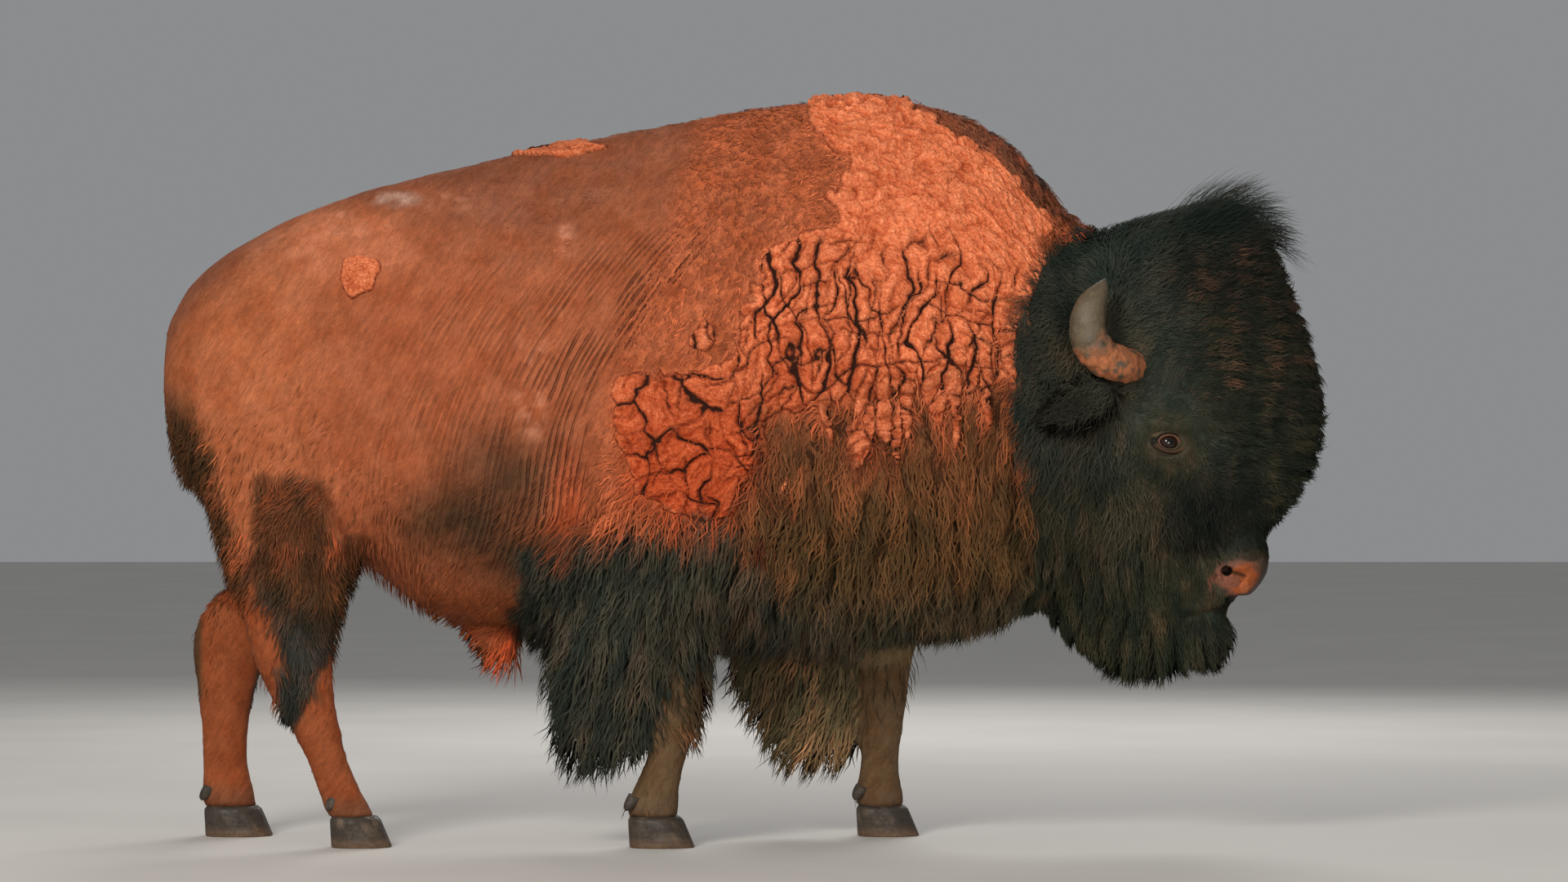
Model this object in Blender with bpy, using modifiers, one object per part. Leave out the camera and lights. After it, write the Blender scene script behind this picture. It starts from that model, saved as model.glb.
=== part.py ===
"""A life-size bull bison standing on four hooves, as a still museum model.

+X runs from the rump to the forehead, +Y to the animal's left, +Z up, in metres. The floor is z = 0.
The coated body is one surface: slices stacked along X for the trunk and along Z for the head and legs are
merged by a voxel remesh, smoothed and thinned out. Thin cuts then part it where its parts are named.
Horns, eyes, ears, tail and hooves are solids of their own.
"""

import math
from collections import namedtuple

import bmesh
import bpy
import numpy as np
from mathutils import Matrix, Vector

# ---------------------------------------------------------------- driving dimensions
GAP = 0.0005  # clear space left by every cut and between pieces that touch
VOXEL = 0.014  # grain of the merge
SMOOTH_PASSES = 6
SMOOTH_FACTOR = 0.5  # how far each pass moves a point toward its neighbours' middle
BODY_TRIANGLES = 3760
RING_POINTS = 40
SLICE_STEP = 0.03  # spacing of the slices worked out between the named ones
TUBE_SIDES = 8
TUBE_STEPS = 2  # rings for each named point of a tube's path
EYE_GRAIN = (14, 9)  # meridians and parallels of an eyeball or its socket
EAR_GRAIN = (12, 8)
WELD = 0.0001  # points nearer than this become one
SHARP_ANGLE = math.radians(50)  # edges that turn more than this stay sharp

CORONET = 0.072  # height where hair ends and the hoof begins
HOOF_CLEFT = 0.009

# A slice is closed and egg-shaped. On the trunk, at is x, and high and low are the top and the underside.
# On head and legs, at is z, and high and low are the front and the back. half is the half width across,
# widest is where along high-low that width lies, side is the slice's own centre across the animal, and
# ridge is how sharply its high end narrows: 1 is round, above 1 is a ridge, below 1 is blunt.
Slice = namedtuple("Slice", "at high low half widest side ridge", defaults=(0.0, 1.0))

TRUNK = (
    Slice(-1.402, 1.205, 1.070, 0.050, 1.140, 0.0, 1.00),
    Slice(-1.386, 1.268, 0.985, 0.125, 1.120, 0.0, 1.00),
    Slice(-1.335, 1.352, 0.880, 0.200, 1.110, 0.0, 1.05),
    Slice(-1.240, 1.436, 0.770, 0.250, 1.120, 0.0, 1.10),
    Slice(-1.080, 1.520, 0.705, 0.272, 1.130, 0.0, 1.15),
    Slice(-0.920, 1.581, 0.668, 0.278, 1.080, 0.0, 1.20),
    Slice(-0.800, 1.612, 0.578, 0.298, 1.010, 0.0, 1.25),
    Slice(-0.690, 1.640, 0.528, 0.318, 0.970, 0.0, 1.28),
    Slice(-0.460, 1.692, 0.516, 0.346, 0.930, 0.0, 1.35),
    Slice(-0.200, 1.751, 0.508, 0.360, 0.920, 0.0, 1.42),
    Slice(0.060, 1.806, 0.502, 0.366, 0.940, 0.0, 1.50),
    Slice(0.290, 1.828, 0.497, 0.360, 0.950, 0.0, 1.50),
    Slice(0.490, 1.806, 0.512, 0.335, 0.960, 0.0, 1.40),
    Slice(0.635, 1.730, 0.540, 0.300, 0.970, 0.0, 1.25),
    Slice(0.725, 1.634, 0.550, 0.270, 0.980, 0.0, 1.15),
    Slice(0.810, 1.545, 0.560, 0.240, 0.990, 0.0, 1.10),
    Slice(0.900, 1.500, 0.620, 0.195, 1.000, 0.0, 1.10),
)
CROWN = (
    Slice(1.588, 1.264, 1.190, 0.045, 1.228),
    Slice(1.566, 1.288, 1.100, 0.110, 1.190),
    Slice(1.526, 1.300, 0.950, 0.165, 1.130),
    Slice(1.480, 1.304, 0.820, 0.200, 1.080),
    Slice(1.410, 1.314, 0.750, 0.222, 1.030),
    Slice(1.330, 1.338, 0.705, 0.232, 1.000),
    Slice(1.240, 1.374, 0.672, 0.236, 0.990),
    Slice(1.150, 1.400, 0.658, 0.232, 0.980),
    Slice(1.070, 1.412, 0.655, 0.222, 0.970),
    Slice(0.990, 1.406, 0.660, 0.208, 0.960),
    Slice(0.920, 1.386, 0.670, 0.196, 0.950),
    Slice(0.850, 1.352, 0.680, 0.186, 0.930),
    Slice(0.790, 1.318, 0.690, 0.174, 0.920),
    Slice(0.740, 1.276, 0.700, 0.160, 0.910),
)
MUZZLE = (
    Slice(0.840, 1.240, 0.980, 0.104, 1.120, 0.0, 0.80),
    Slice(0.780, 1.256, 0.990, 0.098, 1.140, 0.0, 0.80),
    Slice(0.720, 1.270, 1.010, 0.094, 1.160, 0.0, 0.72),
    Slice(0.680, 1.276, 1.025, 0.092, 1.170, 0.0, 0.68),
    Slice(0.640, 1.266, 1.040, 0.088, 1.160, 0.0, 0.70),
    Slice(0.605, 1.236, 1.050, 0.078, 1.140, 0.0, 0.75),
    Slice(0.578, 1.190, 1.070, 0.060, 1.120, 0.0, 0.80),
)
BEARD = (
    Slice(0.800, 1.190, 0.690, 0.170, 0.910),
    Slice(0.720, 1.200, 0.690, 0.164, 0.915),
    Slice(0.650, 1.180, 0.695, 0.156, 0.920),
    Slice(0.595, 1.150, 0.700, 0.146, 0.930),
    Slice(0.552, 1.200, 0.715, 0.130, 0.970),
    Slice(0.505, 1.208, 0.755, 0.114, 1.000),
    Slice(0.455, 1.182, 0.812, 0.094, 1.010),
    Slice(0.405, 1.124, 0.875, 0.068, 1.010),
    Slice(0.366, 1.070, 0.950, 0.036, 1.010),
)
SHEATH = (
    Slice(0.580, -0.490, -0.740, 0.060, -0.620),
    Slice(0.520, -0.530, -0.690, 0.045, -0.610),
    Slice(0.470, -0.540, -0.650, 0.034, -0.595),
    Slice(0.408, -0.548, -0.616, 0.022, -0.583),
)
HIND_RIGHT = (
    Slice(1.150, -0.900, -1.340, 0.115, -1.130, -0.140),
    Slice(1.000, -0.865, -1.342, 0.128, -1.110, -0.150),
    Slice(0.870, -0.870, -1.296, 0.124, -1.090, -0.160),
    Slice(0.760, -0.890, -1.266, 0.110, -1.070, -0.168),
    Slice(0.650, -0.930, -1.232, 0.092, -1.080, -0.176),
    Slice(0.560, -0.958, -1.206, 0.078, -1.080, -0.180),
    Slice(0.490, -0.972, -1.190, 0.068, -1.080, -0.180),
    Slice(0.436, -0.974, -1.172, 0.062, -1.070, -0.180),
    Slice(0.349, -0.974, -1.130, 0.054, -1.040, -0.180),
    Slice(0.285, -0.960, -1.090, 0.049, -1.020, -0.180),
    Slice(0.200, -0.938, -1.046, 0.045, -0.990, -0.180),
    Slice(0.136, -0.912, -1.022, 0.048, -0.965, -0.182),
    Slice(0.095, -0.888, -1.008, 0.052, -0.945, -0.184),
    Slice(CORONET, -0.872, -0.992, 0.053, -0.930, -0.185),
)
HIND_LEFT = (
    Slice(1.150, -0.920, -1.345, 0.115, -1.140, 0.140),
    Slice(1.000, -0.900, -1.360, 0.128, -1.130, 0.150),
    Slice(0.870, -0.905, -1.316, 0.124, -1.120, 0.160),
    Slice(0.760, -0.960, -1.284, 0.108, -1.130, 0.168),
    Slice(0.650, -1.050, -1.262, 0.086, -1.160, 0.176),
    Slice(0.578, -1.100, -1.312, 0.074, -1.200, 0.180),
    Slice(0.518, -1.136, -1.352, 0.068, -1.230, 0.180),
    Slice(0.440, -1.170, -1.362, 0.062, -1.250, 0.180),
    Slice(0.363, -1.196, -1.350, 0.056, -1.265, 0.180),
    Slice(0.287, -1.212, -1.341, 0.051, -1.270, 0.180),
    Slice(0.200, -1.217, -1.338, 0.047, -1.272, 0.180),
    Slice(0.136, -1.208, -1.338, 0.050, -1.268, 0.182),
    Slice(0.095, -1.198, -1.340, 0.054, -1.262, 0.184),
    Slice(CORONET, -1.192, -1.332, 0.054, -1.258, 0.185),
)
FORE_RIGHT = (
    Slice(0.640, -0.070, -0.260, 0.088, -0.165, -0.195),
    Slice(0.450, -0.088, -0.236, 0.070, -0.165, -0.195),
    Slice(0.336, -0.096, -0.226, 0.060, -0.162, -0.192),
    Slice(0.270, -0.112, -0.228, 0.050, -0.172, -0.190),
    Slice(0.200, -0.134, -0.240, 0.046, -0.190, -0.190),
    Slice(0.150, -0.148, -0.264, 0.049, -0.204, -0.190),
    Slice(0.105, -0.150, -0.282, 0.054, -0.212, -0.190),
    Slice(CORONET, -0.148, -0.280, 0.055, -0.210, -0.190),
)
FORE_LEFT = (
    Slice(0.640, 0.430, 0.180, 0.088, 0.300, 0.195),
    Slice(0.463, 0.418, 0.240, 0.072, 0.330, 0.195),
    Slice(0.340, 0.404, 0.272, 0.060, 0.340, 0.192),
    Slice(0.260, 0.394, 0.280, 0.050, 0.336, 0.190),
    Slice(0.190, 0.386, 0.280, 0.046, 0.333, 0.190),
    Slice(0.140, 0.388, 0.272, 0.049, 0.330, 0.190),
    Slice(0.105, 0.394, 0.268, 0.054, 0.332, 0.190),
    Slice(CORONET, 0.398, 0.270, 0.055, 0.336, 0.190),
)
# The long hair of the forelegs, from the elbow to a hand's breadth above the fetlock.
CHAPS_RIGHT = (
    Slice(0.930, 0.080, -0.330, 0.105, -0.120, -0.212),
    Slice(0.780, 0.036, -0.350, 0.118, -0.150, -0.220),
    Slice(0.660, 0.006, -0.418, 0.120, -0.180, -0.216),
    Slice(0.560, -0.024, -0.456, 0.116, -0.200, -0.210),
    Slice(0.466, -0.034, -0.488, 0.108, -0.220, -0.206),
    Slice(0.390, -0.046, -0.482, 0.098, -0.230, -0.200),
    Slice(0.320, -0.068, -0.464, 0.088, -0.240, -0.196),
    Slice(0.240, -0.088, -0.446, 0.074, -0.250, -0.192),
    Slice(0.185, -0.116, -0.414, 0.060, -0.260, -0.190),
    Slice(0.140, -0.160, -0.360, 0.040, -0.260, -0.190),
)
CHAPS_LEFT = (
    Slice(0.930, 0.430, 0.020, 0.105, 0.230, 0.212),
    Slice(0.780, 0.446, -0.014, 0.118, 0.230, 0.220),
    Slice(0.660, 0.444, -0.036, 0.120, 0.220, 0.216),
    Slice(0.560, 0.432, -0.050, 0.116, 0.210, 0.210),
    Slice(0.468, 0.420, -0.056, 0.106, 0.220, 0.206),
    Slice(0.390, 0.406, -0.018, 0.096, 0.240, 0.200),
    Slice(0.320, 0.396, 0.020, 0.084, 0.250, 0.196),
    Slice(0.226, 0.382, 0.074, 0.068, 0.260, 0.192),
    Slice(0.140, 0.350, 0.124, 0.048, 0.260, 0.190),
    Slice(0.100, 0.300, 0.180, 0.028, 0.250, 0.190),
)
TRUNK_UNDERSIDE = 0.86  # bluntness of the belly, as ridge is of the back

HEAD_PIVOT = Vector((0.80, 0.0, 0.0))  # the head is modelled straight, then turned here about the upright
HEAD_YAW = math.radians(-5)  # toward the animal's right

HORN_PATH = (  # one horn's centreline, from inside the skull to the tip
    (1.000, 0.060, 1.148),
    (0.956, 0.140, 1.149),
    (0.916, 0.230, 1.154),
    (0.868, 0.272, 1.176),
    (0.842, 0.292, 1.226),
    (0.848, 0.294, 1.284),
    (0.872, 0.278, 1.330),
    (0.884, 0.268, 1.356),
)
HORN_RADII = (0.038, 0.040, 0.043, 0.044, 0.044, 0.0375, 0.020, 0.003)
TAIL_PATH = (
    (-1.230, 0.000, 1.405),
    (-1.322, 0.006, 1.336),
    (-1.374, 0.014, 1.235),
    (-1.396, 0.022, 1.100),
    (-1.382, 0.030, 0.970),
    (-1.342, 0.036, 0.860),
    (-1.294, 0.040, 0.770),
)
TAIL_RADII = (0.030, 0.029, 0.023, 0.020, 0.026, 0.031, 0.010)
EAR_BASE = Vector((0.905, 0.180, 1.098))
EAR_TIP = Vector((0.758, 0.282, 1.022))
EAR_HALF_WIDTH = 0.046
EAR_THICKNESS = 0.024
EAR_REACH = 0.62  # half the ear's length, as a share of base to tip
EAR_MIDDLE = 0.45  # where its middle lies from base to tip
EYE_PLACE = Vector((1.028, 0.170, 0.966))
EYE_RADIUS = 0.026
SOCKET_RADIUS = 0.040
SOCKET_SHIFT = 0.62  # how far the socket's middle stands outside the eyeball's, in socket radii

# Where the animal is parted: a point of each plane, and the way that the part cut off lies.
HEAD_CUT = ((0.730, 0.0, 1.00), (0.99, 0.0, -0.127))
BEARD_CUT = ((1.120, 0.0, 0.566), (-0.10, 0.0, -1.0))
MUZZLE_CUT = ((1.316, 0.0, 0.765), (0.513, 0.0, -0.858))
NECK_CUT = ((0.500, 0.0, 1.20), (0.976, 0.0, -0.216))
BARREL_CUT = ((-0.225, 0.0, 1.20), (-0.873, 0.0, 0.21))
HIND_CUT = ((-0.870, 0.0, 1.10), (-1.0, 0.0, 0.05))
SHEATH_CUT = ((0.0, 0.0, 0.500), (0.0, 0.0, -1.0))
# The box that takes each leg off the body, as its middle and size, and where the leg is parted again.
LegCut = namedtuple("LegCut", "name middle size joint")
LEG_CUTS = (
    LegCut("fore_right", (-0.205, -0.245, 0.280), (0.590, 0.330, 0.600), (-0.16, 0.0, 0.300)),
    LegCut("fore_left", (0.200, 0.245, 0.280), (0.560, 0.330, 0.600), (0.34, 0.0, 0.290)),
    LegCut("hind_right", (-1.150, -0.212, 0.385), (0.600, 0.400, 0.830), (-1.08, 0.0, 0.430)),
    LegCut("hind_left", (-1.170, 0.212, 0.385), (0.600, 0.400, 0.830), (-1.25, 0.0, 0.470)),
)
JOINT_NORMALS = {"fore": (0.10, 0.0, -1.0), "hind": (0.30, 0.0, -1.0)}  # the way each shin lies

HoofRing = namedtuple("HoofRing", "at front back half middle")
HOOF_RINGS = (  # height, and how far the ring stands out from the leg's last slice
    HoofRing(0.0, 0.034, 0.006, 0.008, 0.016),
    HoofRing(0.012, 0.032, 0.003, 0.008, 0.015),
    HoofRing(CORONET - 0.014, 0.006, 0.002, 0.001, 0.004),
    HoofRing(CORONET - GAP, -0.004, 0.006, -0.004, 0.0),
)
HOOF_RIDGE = 0.8
HOOF_THIN = 2  # a hoof keeps every second point of a ring
CLEFT_BOX = 0.16  # side of the box that cuts the cleft
CLEFT_REACH = 0.024  # its middle lies this far ahead of the leg's front
CLEFT_DROP = 0.012  # and this far below the floor
CLEFT_TILT = math.radians(-24)

FINISHES = {  # base colour and roughness
    "dark_wool": ((0.012, 0.014, 0.010), 0.95),
    "brown_hair": ((0.150, 0.045, 0.018), 0.90),
    "red_hair": ((0.430, 0.110, 0.042), 0.85),
    "nose_leather": ((0.170, 0.052, 0.018), 0.55),
    "horn": ((0.110, 0.095, 0.065), 0.35),
    "hoof": ((0.035, 0.028, 0.022), 0.50),
    "eye": ((0.010, 0.006, 0.004), 0.05),
}


# ---------------------------------------------------------------- small tools
def material(name, colour, roughness):
    """A Principled finish with one colour and roughness."""
    made = bpy.data.materials.get(name) or bpy.data.materials.new(name)
    made.use_nodes = True
    bsdf = made.node_tree.nodes["Principled BSDF"]
    bsdf.inputs["Base Color"].default_value = (*colour, 1.0)
    bsdf.inputs["Roughness"].default_value = roughness
    bsdf.inputs["Metallic"].default_value = 0.0
    return made


def add_object(name, mesh, collection):
    """Links a mesh to the scene as an object of that name."""
    made = bpy.data.objects.new(name, mesh)
    collection.objects.link(made)
    return made


def helper_collection():
    """The collection of cutters, which never render."""
    found = bpy.data.collections.get("cutters")
    if found is None:
        found = bpy.data.collections.new("cutters")
        bpy.context.scene.collection.children.link(found)
        found.hide_render = True
    return found


def evaluated_mesh(obj):
    """A new mesh of the object with its modifiers applied."""
    graph = bpy.context.evaluated_depsgraph_get()
    return bpy.data.meshes.new_from_object(obj.evaluated_get(graph))


def bake(obj):
    """Applies the object's modifiers to its own mesh."""
    mesh = evaluated_mesh(obj)
    obj.modifiers.clear()
    obj.data = mesh
    return obj


def eased(values, count):
    """Rows of numbers joined by a Catmull-Rom curve, sampled at count even steps of the row index."""
    rows = np.asarray(values, float)
    padded = np.vstack([2 * rows[0] - rows[1], rows, 2 * rows[-1] - rows[-2]])
    places = np.linspace(0, len(rows) - 1, count)
    index = np.minimum(places.astype(int), len(rows) - 2)
    t = (places - index)[:, None]
    a, b, c, d = (padded[index + k] for k in range(4))
    return 0.5 * (2 * b + (c - a) * t + (2 * a - 5 * b + 4 * c - d) * t**2 + (3 * b - a - 3 * c + d) * t**3)


def ring_of(row, axis, underside=1.0):
    """The closed outline of one slice: an egg whose width grows as a power of the sine."""
    at, high, low, half, widest, side, ridge = row
    turn = np.linspace(0, 2 * math.pi, RING_POINTS, endpoint=False)
    up, across = np.cos(turn), np.sin(turn)
    power = np.where(up > 0, ridge, underside)
    depth = widest + np.where(up > 0, high - widest, widest - low) * up
    width = side + half * np.sign(across) * np.abs(across) ** power
    along = np.full(RING_POINTS, at)
    if axis == "X":
        return np.stack([along, width, depth], 1)
    return np.stack([depth, width, along], 1)


def loft(slices, axis, underside):
    """Vertices and faces of a closed skin over the slices."""
    length = abs(slices[-1].at - slices[0].at)
    rows = eased(slices, max(len(slices), int(length / SLICE_STEP)))
    points = [ring_of(row, axis, underside) for row in rows]
    faces = []
    for k in range(len(points) - 1):
        for i in range(RING_POINTS):
            j = (i + 1) % RING_POINTS
            a, b = k * RING_POINTS, (k + 1) * RING_POINTS
            faces.append((a + i, a + j, b + j, b + i))
    last = (len(points) - 1) * RING_POINTS
    faces.append(tuple(range(RING_POINTS))[::-1])
    faces.append(tuple(range(last, last + RING_POINTS)))
    return np.vstack(points), faces


def head_turn():
    """The matrix that turns the straight head to the side."""
    there = Matrix.Translation(HEAD_PIVOT)
    return there @ Matrix.Rotation(HEAD_YAW, 4, "Z") @ there.inverted()


def mesh_of_lofts(name, lofts):
    """One mesh holding several closed lofts, all facing out."""
    builder = bmesh.new()
    for slices, axis, underside, turned in lofts:
        points, faces = loft(slices, axis, underside)
        if turned:
            points = [head_turn() @ Vector(p) for p in points]
        verts = [builder.verts.new(p) for p in points]
        for face in faces:
            builder.faces.new([verts[i] for i in face])
    bmesh.ops.recalc_face_normals(builder, faces=builder.faces)
    mesh = bpy.data.meshes.new(name)
    builder.to_mesh(mesh)
    builder.free()
    return mesh


def boolean(obj, other, operation):
    """Applies one exact Boolean to obj."""
    modifier = obj.modifiers.new(operation.lower(), "BOOLEAN")
    modifier.operation = operation
    modifier.solver = "EXACT"
    modifier.object = other
    return bake(obj)


def cutter(name, mesh):
    """A helper object that cuts and never renders."""
    made = add_object(name, mesh, helper_collection())
    made.hide_render = True
    made.display_type = "WIRE"
    return made


def box_mesh(name, size):
    """A box of that size about the origin."""
    builder = bmesh.new()
    bmesh.ops.create_cube(builder, size=1.0, matrix=Matrix.Diagonal((*size, 1.0)))
    mesh = bpy.data.meshes.new(name)
    builder.to_mesh(mesh)
    builder.free()
    return mesh


def cut_away(obj, name, point, normal, collection):
    """Parts obj by a plane: what lies on the normal's side becomes a new object, and obj keeps the rest."""
    point, normal = Vector(point), Vector(normal).normalized()
    new = add_object(name, obj.data.copy(), collection)
    for target, sign in ((new, 1.0), (obj, -1.0)):
        builder = bmesh.new()
        builder.from_mesh(target.data)
        everything = builder.verts[:] + builder.edges[:] + builder.faces[:]
        cut = bmesh.ops.bisect_plane(
            builder,
            geom=everything,
            plane_co=point + normal * sign * GAP / 2,
            plane_no=normal * sign,
            clear_inner=True,
        )
        rim = [e for e in cut["geom_cut"] if isinstance(e, bmesh.types.BMEdge)]
        bmesh.ops.triangle_fill(builder, edges=rim, use_beauty=True, normal=-normal * sign)
        bmesh.ops.recalc_face_normals(builder, faces=builder.faces)
        builder.to_mesh(target.data)
        builder.free()
    return new


def carve(obj, name, size, centre, collection):
    """Takes the part of obj inside a box as a new object with a thin gap round it."""
    outer = cutter(name + "_cut", box_mesh(name + "_cut", size))
    outer.location = centre
    inner = cutter(name + "_keep", box_mesh(name + "_keep", [s - 2 * GAP for s in size]))
    inner.location = centre
    bpy.context.view_layer.update()
    new = add_object(name, obj.data.copy(), collection)
    boolean(new, inner, "INTERSECT")
    boolean(obj, outer, "DIFFERENCE")
    for helper in (outer, inner):
        bpy.data.objects.remove(helper)
    return new


def grown(obj, distance):
    """A copy of obj pushed out along its normals, to cut what is set into it."""
    copy = cutter("grown_" + obj.name, obj.data.copy())
    push = copy.modifiers.new("push", "DISPLACE")
    push.strength = distance
    push.mid_level = 0.0
    return bake(copy)


def dress(obj, finish):
    """Gives the object one material and smooth shading with real edges kept."""
    obj.data.materials.clear()
    obj.data.materials.append(finish)
    obj.data.shade_smooth()
    obj.data.set_sharp_from_angle(angle=SHARP_ANGLE)


# ---------------------------------------------------------------- the coated body
def whole_body(collection):
    """Trunk, head, beard, legs and their long hair merged into one closed surface."""
    lofts = [
        (TRUNK, "X", TRUNK_UNDERSIDE, False),
        (CROWN, "Z", 1.0, True),
        (MUZZLE, "Z", 1.0, True),
        (BEARD, "Z", 1.0, True),
    ]
    limbs = (SHEATH, HIND_RIGHT, HIND_LEFT, FORE_RIGHT, FORE_LEFT, CHAPS_RIGHT, CHAPS_LEFT)
    lofts += [(slices, "Z", 1.0, False) for slices in limbs]
    body = add_object("body", mesh_of_lofts("body", lofts), collection)
    merge = body.modifiers.new("merge", "REMESH")
    merge.mode = "VOXEL"
    merge.voxel_size = VOXEL
    soften = body.modifiers.new("soften", "SMOOTH")
    soften.factor = SMOOTH_FACTOR
    soften.iterations = SMOOTH_PASSES
    bake(body)
    triangles = sum(len(p.vertices) - 2 for p in body.data.polygons)
    thin = body.modifiers.new("thin", "DECIMATE")
    thin.ratio = BODY_TRIANGLES / triangles
    thin.use_collapse_triangulate = True
    return bake(body)


def sphere_mesh(name, radius, grain):
    """A ball about the origin, with grain's meridians and parallels."""
    builder = bmesh.new()
    bmesh.ops.create_uvsphere(builder, u_segments=grain[0], v_segments=grain[1], radius=radius)
    mesh = bpy.data.meshes.new(name)
    builder.to_mesh(mesh)
    builder.free()
    return mesh


def eyes_and_sockets(body, collection, finish):
    """Presses a shallow orbit into each side of the head and sets an eyeball in it."""
    for side, sign in (("right", -1), ("left", 1)):
        place = head_turn() @ Vector((EYE_PLACE.x, EYE_PLACE.y * sign, EYE_PLACE.z))
        orbit = cutter("orbit_" + side, sphere_mesh("orbit_" + side, SOCKET_RADIUS, EYE_GRAIN))
        orbit.location = place + Vector((0, sign * SOCKET_RADIUS * SOCKET_SHIFT, 0))
        seat = cutter("seat_" + side, sphere_mesh("seat_" + side, EYE_RADIUS + GAP, EYE_GRAIN))
        seat.location = place
        bpy.context.view_layer.update()
        boolean(body, orbit, "DIFFERENCE")
        boolean(body, seat, "DIFFERENCE")
        for helper in (orbit, seat):
            bpy.data.objects.remove(helper)
        eye = add_object("eye_" + side, sphere_mesh("eye_" + side, EYE_RADIUS, EYE_GRAIN), collection)
        eye.location = place
        dress(eye, finish)


def tapered_tube(name, path, radii, collection):
    """A closed tube along a smooth path whose radius eases from point to point."""
    curve = bpy.data.curves.new(name, "CURVE")
    curve.dimensions = "3D"
    curve.bevel_depth = 1.0
    curve.bevel_resolution = TUBE_SIDES // 2 - 2  # Blender adds two to this and doubles it
    curve.use_fill_caps = True
    spline = curve.splines.new("POLY")
    rows = eased(np.column_stack([path, radii]), TUBE_STEPS * (len(path) + 1))
    spline.points.add(len(rows) - 1)
    for point, row in zip(spline.points, rows, strict=True):
        point.co = (*row[:3], 1.0)
        point.radius = row[3]
    guide = add_object(name + "_line", curve, helper_collection())
    bpy.context.view_layer.update()
    mesh = evaluated_mesh(guide)
    bpy.data.objects.remove(guide)
    builder = bmesh.new()
    builder.from_mesh(mesh)
    bmesh.ops.remove_doubles(builder, verts=builder.verts, dist=WELD)
    bmesh.ops.recalc_face_normals(builder, faces=builder.faces)
    builder.to_mesh(mesh)
    builder.free()
    return add_object(name, mesh, collection)


def horns(body, collection, finish):
    """Two horns that leave the skull sideways, sweep back and turn up and in."""
    skin = grown(body, GAP)
    for side, sign in (("right", -1), ("left", 1)):
        path = [head_turn() @ Vector((x, y * sign, z)) for x, y, z in HORN_PATH]
        horn = tapered_tube("horn_" + side, path, HORN_RADII, collection)
        boolean(horn, skin, "DIFFERENCE")
        keep_largest(horn)
        dress(horn, finish)
    bpy.data.objects.remove(skin)


def keep_largest(obj):
    """Drops all but the largest of the loose pieces that a cut left."""
    builder = bmesh.new()
    builder.from_mesh(obj.data)
    unseen = set(builder.verts)
    groups = []
    while unseen:
        stack, group = [unseen.pop()], []
        while stack:
            vert = stack.pop()
            group.append(vert)
            for edge in vert.link_edges:
                other = edge.other_vert(vert)
                if other in unseen:
                    unseen.remove(other)
                    stack.append(other)
        groups.append(group)
    groups.sort(key=lambda g: extent(g), reverse=True)
    for group in groups[1:]:
        bmesh.ops.delete(builder, geom=group, context="VERTS")
    builder.to_mesh(obj.data)
    builder.free()


def extent(verts):
    """Size of the box round some vertices, as the sum of its sides."""
    points = np.array([v.co for v in verts])
    return float((points.max(0) - points.min(0)).sum())


def ears(body, collection, finish):
    """Leaf-shaped ears, thick enough for their coat, that hang back and down below the horns."""
    skin = grown(body, GAP)
    for side, sign in (("right", -1), ("left", 1)):
        base = head_turn() @ Vector((EAR_BASE.x, EAR_BASE.y * sign, EAR_BASE.z))
        tip = head_turn() @ Vector((EAR_TIP.x, EAR_TIP.y * sign, EAR_TIP.z))
        along = tip - base
        ear = add_object("ear_" + side, sphere_mesh("ear_" + side, 1.0, EAR_GRAIN), collection)
        turn = along.to_track_quat("X", "Y").to_matrix().to_4x4()
        size = Matrix.Diagonal((along.length * EAR_REACH, EAR_THICKNESS, EAR_HALF_WIDTH, 1.0))
        ear.data.transform(Matrix.Translation(base + along * EAR_MIDDLE) @ turn @ size)
        boolean(ear, skin, "DIFFERENCE")
        keep_largest(ear)
        dress(ear, finish)
    bpy.data.objects.remove(skin)


def tail(body, collection, finish):
    """The tail hangs in the cleft of the rump and ends in a tuft."""
    skin = grown(body, GAP)
    made = tapered_tube("tail", TAIL_PATH, TAIL_RADII, collection)
    boolean(made, skin, "DIFFERENCE")
    keep_largest(made)
    dress(made, finish)
    bpy.data.objects.remove(skin)


# ---------------------------------------------------------------- hooves
def hoof(name, front, back, half, side, collection, finish):
    """A cloven hoof: a shell that widens to a flat sole, with a cleft from the toe."""
    middle = (front + back) / 2
    rings = []
    for ring in HOOF_RINGS:
        ends = front + ring.front, back + ring.back
        row = Slice(ring.at, *ends, half + ring.half, middle + ring.middle, side, HOOF_RIDGE)
        rings.append(ring_of(row, "Z")[::HOOF_THIN])
    count = len(rings[0])
    builder = bmesh.new()
    verts = [[builder.verts.new(p) for p in ring] for ring in rings]
    for lower, upper in zip(verts[:-1], verts[1:], strict=True):
        for i in range(count):
            j = (i + 1) % count
            builder.faces.new((lower[i], lower[j], upper[j], upper[i]))
    builder.faces.new(verts[0][::-1])
    builder.faces.new(verts[-1])
    bmesh.ops.recalc_face_normals(builder, faces=builder.faces)
    mesh = bpy.data.meshes.new(name)
    builder.to_mesh(mesh)
    builder.free()
    made = add_object(name, mesh, collection)
    cleft = cutter(name + "_cleft", box_mesh(name + "_cleft", (CLEFT_BOX, HOOF_CLEFT, CLEFT_BOX)))
    cleft.location = (front + CLEFT_REACH, side, -CLEFT_DROP)
    cleft.rotation_euler = (0, CLEFT_TILT, 0)
    bpy.context.view_layer.update()
    boolean(made, cleft, "DIFFERENCE")
    bpy.data.objects.remove(cleft)
    dress(made, finish)


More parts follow.
